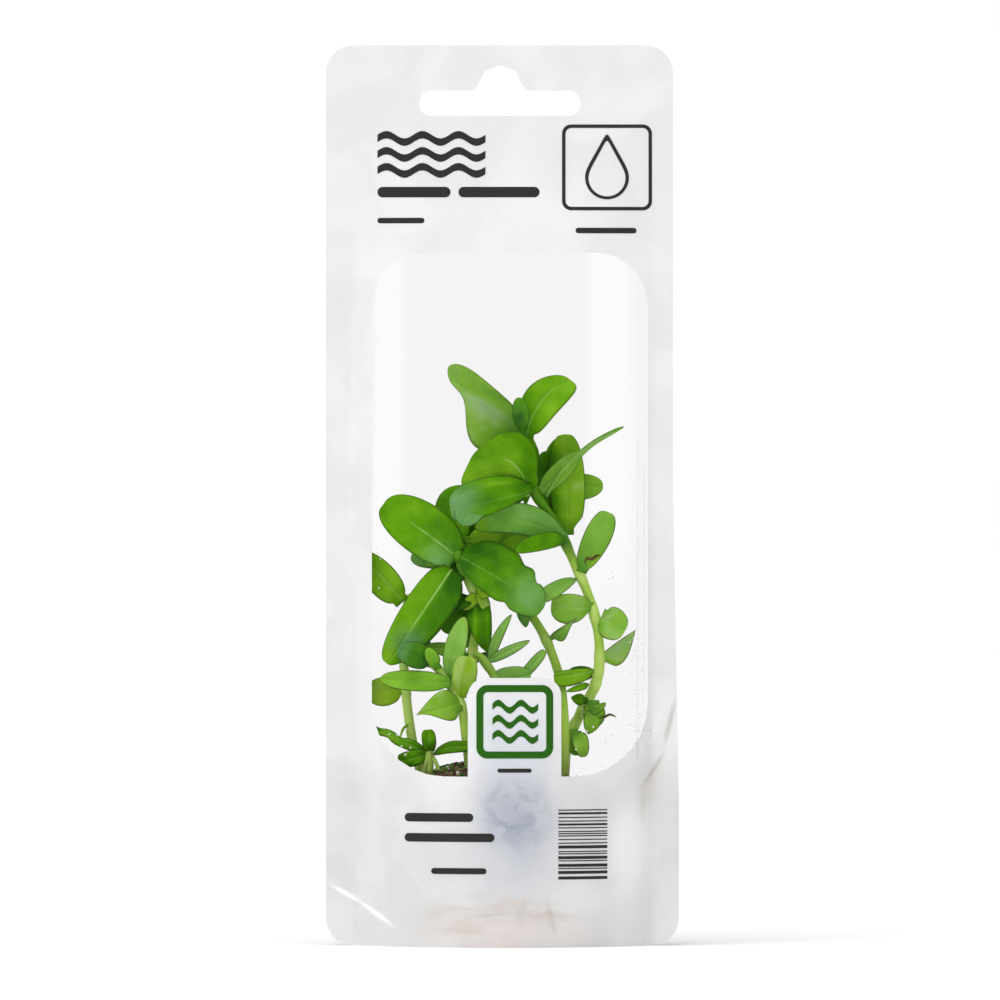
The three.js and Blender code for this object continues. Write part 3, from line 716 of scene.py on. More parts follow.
def net_pot():
    """A closed profile turned round the axis, with two rows of slots taken out of its wall."""
    wall = [0.9, 3.6, 5, 6.3, 13.7, 15, 16, 17, 18, 19.3, 27.2, 28.5, 29.6, 31]
    outer = [(pot_radius(z), z) for z in wall]
    inner = [(pot_radius(z) - POT_WALL, z) for z in wall[::-1]]
    inner[-1] = (inner[-1][0] - 0.1, 1.7)
    rim = [
        (POT_TOP_RADIUS + 0.15, 31.3), (POT_RIM_RADIUS - 0.15, 31.35), (POT_RIM_RADIUS, 31.7),
        (POT_RIM_RADIUS, 32.6), (POT_RIM_RADIUS - 0.3, 32.95), (POT_TOP_RADIUS - POT_WALL + 0.3, 32.95),
        (POT_TOP_RADIUS - POT_WALL, 32.6),
    ]
    foot = [(4, 0), (4.6, 0), (8, 0.25), (10.8, 0.25), (11.6, 0), (POT_FOOT_RADIUS, 0.05)]
    floor = [(11, POT_WALL), (8, POT_WALL + 0.2), (4.6, POT_WALL), (4, POT_WALL)]
    profile = foot + outer + rim + inner + floor
    cell = [-POT_SLOT_ANGLE, -3, 3, POT_SLOT_ANGLE, 9.5, 18, 26.5]
    angles = [18 + 360 / POT_SLOTS * i + a for i in range(POT_SLOTS) for a in cell]
    columns = len(angles)
    first, last = len(foot), len(foot + outer + rim + inner) - 1
    pairs = enumerate(zip(wall, wall[1:]))
    cut = [i for i, (a, b) in pairs if any(low <= a and b <= high for low, high in POT_SLOT_ROWS)]
    cut_rows = {first + i for i in cut} | {last - 1 - i for i in cut}
    points = np.array(revolve(profile, angles)) + (POT_X, 0, POT_FLOOR)
    faces = []
    # the first three columns of each cell lie in a slot
    for k, quad in enumerate(bands(len(profile) + 1, columns)):
        if k // columns not in cut_rows or k % columns % len(cell) > 2:
            faces.append([p % len(points) for p in quad])
    # the slots' sides join the open edges of the outer wall to those of the inner wall
    for a, b in open_edges(faces):
        if a // columns < first + len(wall):
            behind = [(first + last - p // columns) * columns + p % columns for p in (a, b)]
            faces.append([b, a, *behind])
    mesh = Mesh()
    mesh.add(points, faces)
    pot = mesh.piece("pot", [POT], "net_pot")
    round_off = pot.modifiers.new("round", "SUBSURF")
    round_off.levels = round_off.render_levels = 2


def soil_height(x, y):
    out = math.hypot(x - POT_X, y) / SOIL_RADIUS
    return SOIL_TOP - (SOIL_TOP - SOIL_RIM) * out * out


def rough(point, size):
    return noise.fractal(Vector(point) * size, 1.0, 2.0, 4)


def chunk(mesh, centre, size, kind=0):
    """A small crumb: a rough lump of seven sides."""
    points = [centre + Vector((0, 0, 0.5 * size))]
    for level in (0.3, -0.1, -0.4):
        for i in range(7):
            turn = 2 * math.pi * (i + level) / 7
            reach = size * 0.5 * math.sqrt(1 - level * level) * random.uniform(0.7, 1.25)
            points.append(centre + Vector((reach * math.cos(turn), reach * math.sin(turn), size * level)))
    points.append(centre - Vector((0, 0, 0.5 * size)))
    pairs = [(i, (i + 1) % 7) for i in range(7)]
    faces = [[0, 1 + i, 1 + n] for i, n in pairs]
    faces += [[ring + i, ring + 7 + i, ring + 7 + n, ring + n] for ring in (1, 8) for i, n in pairs]
    faces += [[15 + i, 22, 15 + n] for i, n in pairs]
    mesh.add([tuple(p) for p in points], faces, kind)


def tube(mesh, path, radii, sides=8, kind=0, paint=None):
    """A closed round tube along a path, with a rounded point at both ends."""
    path = np.asarray(path, float)
    count = len(path)
    ways = np.gradient(path, axis=0)
    ways /= np.linalg.norm(ways, axis=1)[:, None]
    up = unit(np.cross(ways[0], (0.3, 1, 0.1)))
    turns = 2 * math.pi * np.arange(sides) / sides
    points = []
    for centre, way, radius in zip(path, ways, radii):
        up = unit(up - way * (up @ way))
        side = np.cross(way, up)
        points.append(centre + radius * (np.cos(turns)[:, None] * up + np.sin(turns)[:, None] * side))
    ends = np.array([path[0] - ways[0] * radii[0] * 0.4, path[-1] + ways[-1] * radii[-1] * 0.6])
    shades = np.array([(0, 0, 0)] * count if paint is None else paint, float)
    shades = np.vstack((np.repeat(shades, sides, axis=0), shades[0], shades[-1]))
    foot, top = count * sides, count * sides + 1
    last = (count - 1) * sides
    faces = bands(count, sides)
    faces += [[foot, (j + 1) % sides, j] for j in range(sides)]
    faces += [[top, last + j, last + (j + 1) % sides] for j in range(sides)]
    mesh.add(np.vstack((*points, ends)), faces, kind, paint=shades)


def root_ball():
    random.seed(5)
    floor = POT_FLOOR + POT_WALL + 0.4
    foot_edge, top_edge = 10.9, SOIL_RADIUS * 0.97
    profile = [(r, floor) for r in (0.01, 4, 8, 10.6)]
    for t in np.linspace(0, 1, 20):
        profile.append((foot_edge + (top_edge - foot_edge) * t, floor + 0.4 + (SOIL_RIM - 0.4 - floor) * t))
    for t in np.linspace(0.06, 0.999, 22):
        profile.append((top_edge * (1 - t), soil_height(POT_X + top_edge * (1 - t), 0)))
    sides = 110
    points = np.array(revolve(profile, np.arange(sides) * 360 / sides)) + (POT_X, 0, 0)
    lumpy = []
    for x, y, z in points:
        way = unit(np.array([x - POT_X + 1e-6, y, 0.02 + 3 * max(0, z - 30)]))
        amount = 0.28 * rough((x, y, z), 0.45) + 0.12 * rough((x, y, z), 1.6)
        lumpy.append(np.array([x, y, z]) + way * min(0.35, amount) * (z > floor + 0.2))
    last = (len(profile) - 1) * sides
    mesh = Mesh()
    mesh.add(lumpy, bands(len(profile), sides) + [list(range(sides))[::-1], list(range(last, last + sides))])
    for _ in range(CRUMBS):
        r = SOIL_RADIUS * 0.95 * math.sqrt(random.random())
        turn = random.uniform(0, 2 * math.pi)
        x, y = POT_X + r * math.cos(turn), r * math.sin(turn)
        size = random.choice((0.5, 0.7, 0.9, 1.3))
        kind = random.choices((0, 1, 2), (4.5, 0.9, 4))[0]
        chunk(mesh, Vector((x, y, soil_height(x, y) + 0.15 * size)), size * (0.7 if kind == 1 else 1), kind)
    for _ in range(ROOTS):
        start = random.uniform(0, 2 * math.pi)
        low = random.uniform(4, 31)
        sweep = random.uniform(0.3, 0.9) * random.choice((-1, 1))
        rise = random.uniform(-5, 5)
        path = []
        for t in np.linspace(0, 1, 9):
            z = min(32.5, max(3.4, low + rise * t + 0.6 * math.sin(7 * t + start)))
            r = foot_edge + (top_edge - foot_edge) * (z - floor) / (SOIL_RIM - floor) + 0.22
            turn = start + sweep * t
            path.append((POT_X + r * math.cos(turn), r * math.sin(turn), z))
        tube(mesh, path, [ROOT_RADIUS] * 9, 5, 3)
    mesh.piece("root_plug", [SOIL, PALE_GRAIN, MOSS, ROOT], "root_ball")


net_pot()
root_ball()


# Stems


def rooted(x, y):
    return (x, y, soil_height(x, y) + 0.5)


# Each stem's radius, its colour and its route. The colour is the height from which it is green, how green it
# is there, and how pale it is below. On the left stem the paleness is painted light, on a stem in shade.
STEMS = {
    "tall": (0.95, (76, 1, 0), [
        rooted(12.4, 4), (13.1, 4, 41.1), (15.5, 4, 46.1), (18.9, 3.6, 53.1), (19.3, 3.2, 61.1),
        (17.5, 2.8, 69.1), (14.1, 2.2, 77.1), (10.6, 1.4, 84.4), (6.3, 0.6, 90.9), (4.4, 0, 97.5),
        (3.5, -0.4, 102.6),
    ]),
    "middle": (0.92, (45, 0.32, 0), [
        rooted(12.2, -1.6), (12.4, -1.4, 42.1), (12.1, -0.8, 48.5), (11.3, 0.4, 54), (8.9, 2, 60.7),
        (6.1, 3.4, 65.5), (2.6, 4.6, 69.6), (-1.4, 5.2, 73.6),
    ]),
    # painted light: the left stem is pale all along because it renders in shade
    "left": (0.95, (80, 0, 1), [
        (-16.2, -0.6, 34.6), (-17.4, -0.6, 38), (-18.9, -0.4, 46.7), (-19.7, 0, 55.5), (-20.3, 0.6, 60.5),
        (-19.4, 0.8, 66), (-18.3, 0.6, 70),
    ]),
    "front": (0.95, (49, 0.45, 0), [
        rooted(-6.6, -6.2), (-7.2, -7, 41.2), (-8.4, -7.8, 48.4), (-11.3, -8.4, 53.5), (-14, -8.6, 56.8),
    ]),
    "centre": (0.95, (70, 1, 0.2), [
        rooted(-3.6, 0), (-4.8, 0, 46), (-6.3, 0, 54.5), (-5.8, 0, 60), (-4.8, -0.2, 66), (-5.4, -0.3, 70),
        (-7.6, -0.5, 74.6), (-9, -0.6, 78.6),
    ]),
}


def smooth_path(points, count):
    """A centripetal spline through the points, the same as the solids' stems follow."""
    points = np.asarray(points, float)
    every = np.vstack((2 * points[0] - points[1], points, 2 * points[-1] - points[-2]))
    spans = len(points) - 1
    path = []
    for k in range(count):
        at = spans * k / (count - 1)
        i = min(int(at), spans - 1)
        t = at - i
        p0, p1, p2, p3 = every[i : i + 4]
        d0, d1, d2 = (max(1e-3, np.linalg.norm(b - a)) ** 0.5 for a, b in ((p0, p1), (p1, p2), (p2, p3)))
        m1 = ((p1 - p0) / d0 - (p2 - p0) / (d0 + d1) + (p2 - p1) / d1) * d1
        m2 = ((p2 - p1) / d1 - (p3 - p1) / (d1 + d2) + (p3 - p2) / d2) * d1
        square, cube = 3 * p2 - 3 * p1 - 2 * m1 - m2, 2 * p1 - 2 * p2 + m1 + m2
        path.append(p1 + m1 * t + square * t**2 + cube * t**3)
    return np.array(path)


def turned(vector, axis, degrees):
    angle = math.radians(degrees)
    cosine, sine = math.cos(angle), math.sin(angle)
    return vector * cosine + np.cross(axis, vector) * sine + axis * (axis @ vector) * (1 - cosine)


def smooth(value, low, high):
    t = min(1, max(0, (value - low) / (high - low)))
    return t * t * (3 - 2 * t)


# Leaves

# What a leaf has where its row says nothing else
# Shape: how the blade rolls, folds, bends and sways, where it is widest and how round it is, how far from its
# base it starts, how wavy its margins are and how narrow its neck is. left and right change one side, as seen
# on the way from base to tip: its share of the half-width, where it is widest and how round it is. A dent
# draws the margin in: on which side, -1 for the left, where along the leaf, how deep and how far it reaches.
# Colour: how much painted blue sheen it has and how yellow it is, the painted sheen added toward the tip, the
# painted shade added to the tone of the left and the right half, how plain the midrib is and how far it
# reaches,
# and how dark the margin is. A spot is a soft oval seen from the front, mostly painted highlight and shade:
# its middle, half-length, half-width and turn, and what it adds to the tone and the blue sheen.
USUAL = dict(
    roll=0, fold=0.15, bend=1, sway=0, peak=0.42, point=1.1, left=None, right=None, dents=(), standoff=0.9,
    wave=0.12, neck=1, blue=0, yellow=0, far=0, half_shade=(0, 0), rib=0, reach=1, edge=0.6, spots=(),
)
# How far along its outline a blade begins, so that its base isn't a point, and how thick it is
LEAF_BASE_START = 0.03
LEAF_THICK = 0.5


class Blade:
    """One leaf from base to tip: where its midrib runs, how wide it is and which way it faces."""

    def __init__(self, base, tip, width, tone, **own):
        vars(self).update(USUAL, tone=tone, **own)
        self.base, self.tip, self.width = np.array(base, float), np.array(tip, float), width
        along = unit(self.tip - self.base)
        self.start = self.base + along * self.standoff
        self.length = np.linalg.norm(self.tip - self.start)
        facing = np.array([0, 0, 1.0]) if abs(along[1]) > 0.75 else np.array([0, -1.0, 0])
        self.up = turned(unit(facing - along * (facing @ along)), along, self.roll)
        self.side = np.cross(along, self.up)
        self.middle = (self.start + self.tip) / 2 + 2 * self.bend * self.up + 2 * self.sway * self.side

    def centre(self, t):
        if t < 0:
            return self.start + 2 * t * (self.middle - self.start)
        return (1 - t) ** 2 * self.start + 2 * t * (1 - t) * self.middle + t * t * self.tip

    def lift(self, t):
        forward = unit((1 - t) * (self.middle - self.start) + t * (self.tip - self.middle))
        return unit(self.up - forward * (self.up @ forward))

    def half(self, t, hand):
        """The half-width on the left, where hand is under 0, or on the right."""
        share, peak, point = (self.left if hand < 0 else self.right) or (1, self.peak, self.point)
        u = LEAF_BASE_START + (1 - LEAF_BASE_START) * t
        rise, fall = (u / peak) ** (peak * point), ((1 - u) / (1 - peak)) ** ((1 - peak) * point)
        half = self.width / 2 * share * rise * fall
        for side, at, depth, reach in self.dents:
            if side * hand > 0:
                half *= 1 - depth * math.exp(-(((t - at) / reach) ** 2))
        return half

    def color(self, point, t, share):
        """The tone, with its painted shade and highlight, and the painted blue sheen at a point of the blade.
        """
        # painted shade: one half of a folded blade is darker than the other
        tone = self.tone + self.half_shade[share >= 0] * min(1, abs(share) * 6)
        # painted shade: every blade is darker toward its base, where it sits in among the others
        tone -= 0.12 * math.exp(-((t / 0.16) ** 2))
        blue = self.blue + self.far * max(0, t - 0.55) / 0.45
        # spots are mostly painted highlight and painted shade on the blade
        for x, z, long, short, turn, paler, sheen_gain in self.spots:
            near = nearness(point, x, z, long, short, turn)
            tone, blue = tone + paler * near, blue + sheen_gain * near
        return tone, min(0.9, max(0, blue)), 0


def nearness(point, x, z, long, short, turn):
    """1 at the middle of a soft oval seen from the front, whose long axis is turned up from +X."""
    angle = math.radians(turn)
    dx, dz = point[0] - x, point[2] - z
    along = (dx * math.cos(angle) + dz * math.sin(angle)) / long
    across = (dz * math.cos(angle) - dx * math.sin(angle)) / short
    return math.exp(-(along**2) - across**2)


# Every leaf on a stem: base, tip, greatest width, tone from 0, dark, to 1, pale, and what is its own. The
# tone is partly the leaf's own green, partly painted shade on leaves deep in the clump and painted light on
# some that render in shade. The leaves stand as in the solids. A few outlines follow the photo a little more
# closely.
LEAVES = {
    "tall_01": Blade((3.8, 2.1, 102.6), (-10.9, 1.4, 115.7), 17, 0.76, roll=-36, fold=0.42, sway=-0.8,
        left=(0.87, 0.3, 1.2), right=(0.9, 0.5, 1.1), dents=[(-1, 0.7, 0.74, 0.27)], blue=0.2, rib=0.15,
        spots=[(-3.1, 107.7, 4.5, 0.7, -31, 0.34, 0.6), (-4, 106.6, 4.5, 0.8, -31, 0.1, 0.3),
        (-5.5, 103.6, 2.2, 3, 0, 0.08, -0.1), (-2, 110.4, 5, 1, -33, -0.14, 0),
        (-10.1, 114.7, 1.5, 1.5, 0, -0.05, 0.2), (-1.6, 104.4, 2.4, 0.7, -40, 0.12, 0)]),
    "tall_02": Blade((4.6, -2.9, 102.5), (13.5, -1.5, 113.2), 8, 0.6, roll=-8, sway=-1.5,
        left=(0.92, 0.45, 0.75), right=(1.02, 0.55, 0.75), rib=0.3,
        spots=[(6.5, 105.1, 3.5, 1.6, 60, -0.08, 0), (11.5, 111, 3, 1.6, 45, 0.03, 0)]),
    "tall_bud": Blade((4.1, -4.2, 103), (3.2, -6.6, 109.6), 3.4, 0.5, fold=0, bend=0.3, point=0.8, blue=0.1,
        edge=0.5, spots=[(3.4, 105.6, 1.5, 1.5, 0, -0.3, 0)]),
    "tall_03": Blade((6, -0.7, 91.2), (-6.6, -1, 97), 16.8, 0.6, roll=-30, fold=0.3, bend=1.4, sway=4.7,
        left=(0.98, 0.6, 0.8), right=(1, 0.38, 0.8), rib=0.5, reach=0.3,
        spots=[(5.1, 98.1, 4, 1.6, 90, -0.2, 0), (-3.5, 93.5, 4, 1.6, 10, 0.1, 0),
        (2.5, 102, 3, 1, -20, -0.1, 0)]),
    "tall_04": Blade((6, -1.8, 90.8), (-10.5, -5, 87.4), 10, 0.48, roll=-8, left=(0.6, 0.8, 0.9),
        right=(1, 0.55, 0.75), rib=0.1, spots=[(-9.3, 88, 3.6, 3.2, 30, 0, 0.9),
        (-3, 89, 4, 1.4, 10, -0.12, 0), (-7, 90.2, 2.4, 1, 30, 0.06, 0.4), (-1, 92.6, 4, 0.5, 5, 0.24, 0),
        (1, 90, 3, 0.8, 15, 0.08, 0)]),
    "tall_05": Blade((8.6, -0.6, 90.4), (24.4, -2.8, 103.8), 5.2, 0.72, roll=76, bend=-1.7, sway=-0.8,
        blue=0.3, rib=0.1, edge=0.7),
    "tall_06": Blade((6.9, 2.2, 91.2), (20.2, 6.6, 92), 5.4, 0.66, bend=-1, peak=0.6, point=1.15, blue=0.1,
        rib=0.2),
    "tall_07": Blade((13.3, 3.6, 82.4), (12.5, 2.8, 102.3), 7.3, 0.7, bend=0.3, peak=0.5, point=0.7, rib=0.1,
        neck=0.6, spots=[(10.1, 89.1, 4, 1.4, 95, -0.42, 0), (9.3, 96.7, 2.6, 1.6, 80, -0.4, 0),
        (14.5, 88, 4, 1.4, 90, 0.06, 0)]),
    "tall_08": Blade((12.6, -0.2, 81.6), (-5.4, -0.2, 84.2), 7.4, 0.56, roll=-8, sway=2.2,
        left=(0.75, 0.5, 0.7), right=(1, 0.5, 0.8), blue=0.25, rib=0.12,
        spots=[(5.5, 86.1, 4.5, 1.5, -15, 0.06, 0.3), (-4.1, 84.1, 1.5, 1.5, 0, 0.1, -0.2),
        (3.5, 82.1, 6, 0.8, -5, -0.12, 0)]),
    "tall_09": Blade((12.9, -0.3, 80.9), (2.6, -6.6, 78.7), 4.2, 0.48, left=(0.4, 0.5, 0.8),
        right=(1.3, 0.5, 0.8), edge=0.9),
    "tall_10": Blade((16.4, 0.9, 74.6), (20.9, -0.6, 86.8), 6, 0.63, roll=10, left=(1.05, 0.45, 0.7),
        right=(0.86, 0.68, 0.9), blue=0.2, rib=0.05, edge=0.8, spots=[(18.6, 76.6, 1.6, 0.9, 20, 0.25, -0.2),
        (19, 82, 3, 1.5, 70, 0.06, 0.1)]),
    "tall_11": Blade((15.3, 1.7, 73.5), (8.1, -3, 69.2), 4.2, 0.72, left=(0.48, 0.75, 0.8),
        right=(1, 0.75, 0.8), blue=0.4, rib=0.1),
    "tall_12": Blade((18.2, 1.8, 67.4), (9.7, -0.6, 68), 6, 0.78, roll=-8, left=(1.1, 0.62, 1.15),
        right=(0.95, 0.55, 0.7), blue=0.22, half_shade=(-0.06, 0), rib=0.2),
    "tall_13": Blade((19.7, 2.2, 65.6), (24.5, -1, 62.9), 7, 0.78, bend=0.6, left=(0.96, 0.45, 0.6),
        right=(0.93, 0.5, 0.6), blue=0.25, rib=0.1, spots=[(20.3, 65.4, 1.6, 0.8, 30, 0.2, 0.1)]),
    "tall_14": Blade((19.1, 3.4, 57.2), (26.7, 2.4, 63.2), 7.2, 0.84, bend=0.3, left=(0.12, 0.3, 1.5),
        right=(1, 0.3, 1.6), blue=0.15, rib=0.2, edge=0.9, neck=0.8,
        spots=[(23.6, 60.2, 3.4, 1, 44, 0.1, 0.35)]),
    "tall_15": Blade((18.8, 2.9, 55), (10.2, -2.4, 53.8), 4, 0.68, roll=-10, left=(1.1, 0.72, 0.9),
        right=(0.6, 0.7, 0.7), rib=0.3),
    "tall_16": Blade((17, 1.3, 46.6), (20.7, -2.7, 48.6), 2.2, 0.66, roll=15, blue=0.2, rib=0.1),
    "tall_17": Blade((18.8, 3, 47.6), (17.1, 0.6, 42.2), 3.6, 0.66, peak=0.5, point=1.7, blue=0.1, rib=0.1),
    "tall_18": Blade((15, 2.8, 43), (16.3, -1.6, 37.7), 3.4, 0.76, peak=0.5, point=0.8, blue=0.2, rib=0.1,
        edge=0.8),
    "tall_19": Blade((17.6, 1.8, 52.3), (12.7, -2.4, 50.8), 1.5, 0.5, edge=0.8),
    "tall_20": Blade((17, 2.4, 48.8), (13.7, 1.6, 49.6), 2.4, 0.5, bend=0.2, peak=0.3, edge=0.8),
    "middle_01": Blade((9.4, 1.2, 61.2), (15.2, -1.6, 65.7), 3.6, 0.72, roll=10, left=(0.45, 0.3, 1),
        right=(1, 0.25, 3.4), blue=0.35, far=0.4, rib=0.25, edge=0.9),
    "middle_02": Blade((4, 3.4, 67.9), (4.7, -0.4, 63.6), 2.8, 0.4, blue=0.3, rib=0.1),
    "centre_01": Blade((-9.4, -0.8, 78), (-23.9, 0, 88.2), 10.8, 0.51, roll=12, fold=0.3, bend=1.2,
        point=0.72, rib=0.45, reach=0.5, spots=[(-13.1, 77.1, 3, 3, 0, 0.1, 0.5),
        (-20, 84, 4, 3, 0, 0.02, 0), (-11.5, 80.5, 2, 2, 0, -0.08, 0)]),
    "centre_02": Blade((-8.2, -2, 77.6), (8.2, -5, 67.4), 12.6, 0.4, roll=-20, fold=0.3,
        left=(1, 0.38, 0.95), right=(0.78, 0.6, 0.8), dents=[(-1, 0.58, 0.16, 0.07), (-1, 0.78, 0.24, 0.05),
        (1, 0.63, 0.18, 0.05)], rib=0.15, reach=0.6, spots=[(5.5, 70.1, 3.6, 3.4, 0, 0.2, 0.7),
        (-3, 78.1, 3, 1.5, -20, -0.08, 0), (-2.5, 71.5, 3.4, 1.4, -40, 0.1, 0),
        (1.5, 74.5, 1.6, 1.2, -20, 0.1, 0)]),
    "centre_03": Blade((-8.8, 2.8, 79.2), (-7, 7.6, 92), 9, 0.44, left=(1.3, 0.52, 1.05),
        right=(0.4, 0.4, 0.8), rib=0.1, spots=[(-8.5, 84.6, 3, 1.6, 90, 0.15, 0)]),
    "centre_04": Blade((-7.2, 1.7, 80.8), (0.5, 2.9, 83.4), 5, 0.76, roll=24, rib=0.15, edge=0.3),
    "centre_05": Blade((-10.4, -1.8, 75), (-23, -5.6, 56.3), 11, 0.6, bend=1.4, left=(0.95, 0.34, 0.85),
        right=(0.75, 0.4, 0.6), half_shade=(-0.23, 0), rib=0.6, reach=0.6,
        spots=[(-19.1, 61.1, 2.8, 2.2, 0, -0.05, 0.6), (-22.1, 57.1, 1.6, 1.4, 0, 0.12, 0),
        (-10.5, 72.1, 3, 2, 90, -0.06, 0)]),
    "centre_06": Blade((-9.6, 0.6, 77.2), (-18.4, 4.6, 77.6), 5.4, 0.45, roll=20, blue=0.3, edge=0.8),
    "centre_07": Blade((-4.5, -1.7, 69), (-2.8, -3.4, 58.6), 5.2, 0.36, roll=10, left=(0.8, 0.25, 1),
        right=(1.15, 0.3, 1), spots=[(-5.5, 64, 4.5, 0.5, 90, 0.2, 0), (-3, 64, 4, 0.4, 90, 0.16, 0),
        (-6.3, 66, 3, 0.5, 90, -0.15, 0)]),
    "centre_08": Blade((-5.9, -1, 71.4), (-1.4, -3.6, 71), 3.2, 0.72, roll=20, yellow=0.4),
    "centre_09": Blade((-6, -0.9, 69.8), (-12.7, -3.2, 66), 4.4, 0.3, roll=30,
        spots=[(-8.5, 67.5, 1.6, 1.2, 0, -0.15, 0)]),
    "centre_10": Blade((-6.4, -0.7, 57.8), (-15.7, -4, 60), 3, 0.62, roll=10, blue=0.2, rib=0.1),
    "left_01": Blade((-20, -0.2, 68.8), (-28.3, 0, 78.6), 7, 0.66, fold=0.05, bend=0.2, left=(1, 0.42, 0.9),
        right=(0.84, 0.42, 0.9), rib=0.3, reach=0.6, edge=0.7),
    "left_02": Blade((-19.9, -1, 51.8), (-27.5, -1.2, 50.4), 6, 0.76, roll=-10, point=0.8, yellow=0.7,
        rib=0.1),
    "front_01": Blade((-13.9, -8.8, 56.9), (-20.8, -7.8, 59.4), 5.2, 0.27, point=0.75, blue=0.05, far=0.6,
        edge=0.7),
    "front_02": Blade((-10.6, -9.4, 54), (-7.6, -10.6, 65.8), 4.4, 0.7, roll=-10, point=0.9, blue=0.3,
        rib=0.08),
    "front_03": Blade((-10.6, -10.2, 52.7), (-24.3, -4.8, 53.4), 4.2, 0.66, point=0.75, blue=0.12, rib=0.06,
        edge=0.7),
    "front_04": Blade((-8.4, -9.1, 48.6), (-17.4, -9.2, 46.1), 6, 0.75, left=(1, 0.2, 3),
        right=(1.15, 0.26, 1.7), blue=0.1, rib=0.06),
    "front_05": Blade((-8.1, -9, 49.8), (-7.1, -12.2, 58), 5, 0.85, bend=0.4, peak=0.6, point=0.7,
        yellow=0.45, edge=0.15, spots=[(-8.1, 56.6, 2, 0.5, 80, 0.4, 0), (-6.8, 57, 1.6, 0.6, 90, -0.15, 0),
        (-9, 54, 3, 0.5, 95, 0.2, 0)]),
    "back_01": Blade((11.2, 2.9, 82.6), (4.6, 8.8, 85.4), 5, 0.3),
    "back_02": Blade((16.6, 3.6, 75.4), (20.4, 6, 83), 3.6, 0.4),
    "back_03": Blade((18.9, 4.2, 54.6), (13, 9, 54), 3.2, 0.35),
    "back_04": Blade((-8, 0.6, 75.6), (-2.2, 9.4, 81), 6.6, 0.25),
    "back_05": Blade((-5.4, 0.9, 62), (-10, 9.6, 65.6), 6.4, 0.45),
    "back_06": Blade((-6, 0.9, 56.4), (1.2, 10.4, 58.4), 3.6, 0.3),
    "back_07": Blade((-19.3, 1, 57.4), (-15.6, 7.6, 62), 5.4, 0.35),
}

# Small leaves that grow beside the named one and only show between the others, with the same values. FAINT
# gives one a pale margin.
FAINT = dict(edge=0.4)
FILLS = [
    ("tall_05", (7.6, 0.4, 90.8), (15.4, -0.8, 98.6), 4, 0.72, dict(blue=0.2, rib=0.1)),
    ("tall_07", (10.8, 4.6, 86), (12.2, 4.8, 101.8), 8.4, 0.56, {}),
    # painted shade: a dark leaf that stands for the shadow deep in the clump left of tall_07
    ("tall_07", (10.8, 3.9, 83.4), (8.4, 4, 98.9), 5.4, 0.4, FAINT),
    ("tall_04", (-4.4, -2.6, 91.4), (-8.2, -5.8, 84.1), 6.4, 0.46, dict(blue=0.7, rib=0.1)),
    ("tall_03", (7, 0.8, 96), (3, 1, 104.4), 3.2, 0.5, dict(rib=0.2)),
    ("centre_04", (-8.2, 3.4, 79.2), (2.4, 4.2, 81.8), 5.6, 0.74, FAINT),
    ("centre_04", (-8, 4.6, 81.6), (-3.2, 5.2, 87), 4, 0.4, FAINT),
    ("tall_09", (11.8, 1.2, 82), (-0.6, 1.4, 79.8), 4.6, 0.62, FAINT),
    ("centre_08", (-4.4, -1.3, 70.6), (-8, -2.2, 67.2), 2.6, 0.8, dict(yellow=0.5)),
    ("centre_08", (-5, -1.4, 71.4), (-2.8, -2.6, 66.6), 2.4, 0.86, dict(yellow=0.4)),
    ("centre_09", (-6.2, 1.2, 66), (-9.6, 1.6, 68.2), 3, 0.4, FAINT),
    ("front_01", (-12.8, -9.6, 55.4), (-15, -9.9, 59.6), 2.8, 0.62, dict(blue=0.1)),
    ("centre_09", (-8.6, 1, 68.6), (-11.4, 1.2, 62.4), 4.4, 0.4, FAINT),
    ("centre_09", (-5.6, 0.8, 68.6), (-8.2, 1.2, 59.4), 5, 0.4, FAINT),
    ("centre_01", (-9.2, 0.6, 77.4), (-15.2, 0.8, 76.2), 3, 0.74, dict(blue=0.2)),
    ("centre_05", (-8.6, 1, 76.8), (-10.8, 1.2, 70.5), 3.6, 0.46, FAINT),
    ("tall_18", (14, 2.6, 43.2), (14.9, 0, 38), 4, 0.74, dict(blue=0.2, rib=0.1)),
    ("tall_17", (18.2, 2, 49), (18.4, 1, 43.6), 4.6, 0.62, dict(dents=[(1, 0.3, 0.4, 0.06),
        (1, 0.6, 0.5, 0.07)], blue=0.15, rib=0.1, edge=0.8)),
]

# Thin rolled edges and stalks beside leaves: the leaf, the thickness, the tone, how brown it is and the path
CURLS = [
    ("tall_10", 0.3, 0.1, 0.8,
     [(16.4, -0.2, 76.4), (16.9, -0.4, 77.4), (17.9, -0.5, 77.3), (18.9, -0.5, 78), (19.6, -0.4, 78)]),
    ("tall_17", 0.25, 0.15, 0.6,
     [(19.2, 0.6, 45.6), (20.4, 0.4, 45.7), (21.5, 0.2, 46.2), (22.7, 0.2, 45.7)]),
    ("left_02", 0.28, 0.7, 0, [(-18.8, -1.3, 44.4), (-19.8, -2, 43.4), (-20.5, -3.6, 41.5)]),
    ("tall_04", 0.5, 1, 0, [(5.4, -1.7, 90.3), (3.6, -1.8, 89.8), (1.5, -1.9, 88.8)]),
    # a pale stalk whose paleness is partly a painted highlight
    ("front_02", 0.3, 1, 0, [(-10.4, -9.6, 57.4), (-8.2, -9.8, 58.9), (-6.4, -9.4, 58.6)]),
    ("centre_05", 0.45, 0.9, 0, [(-14, -1.2, 76.6), (-12, -1.4, 76.4), (-10.6, -1.4, 76.8)]),
]


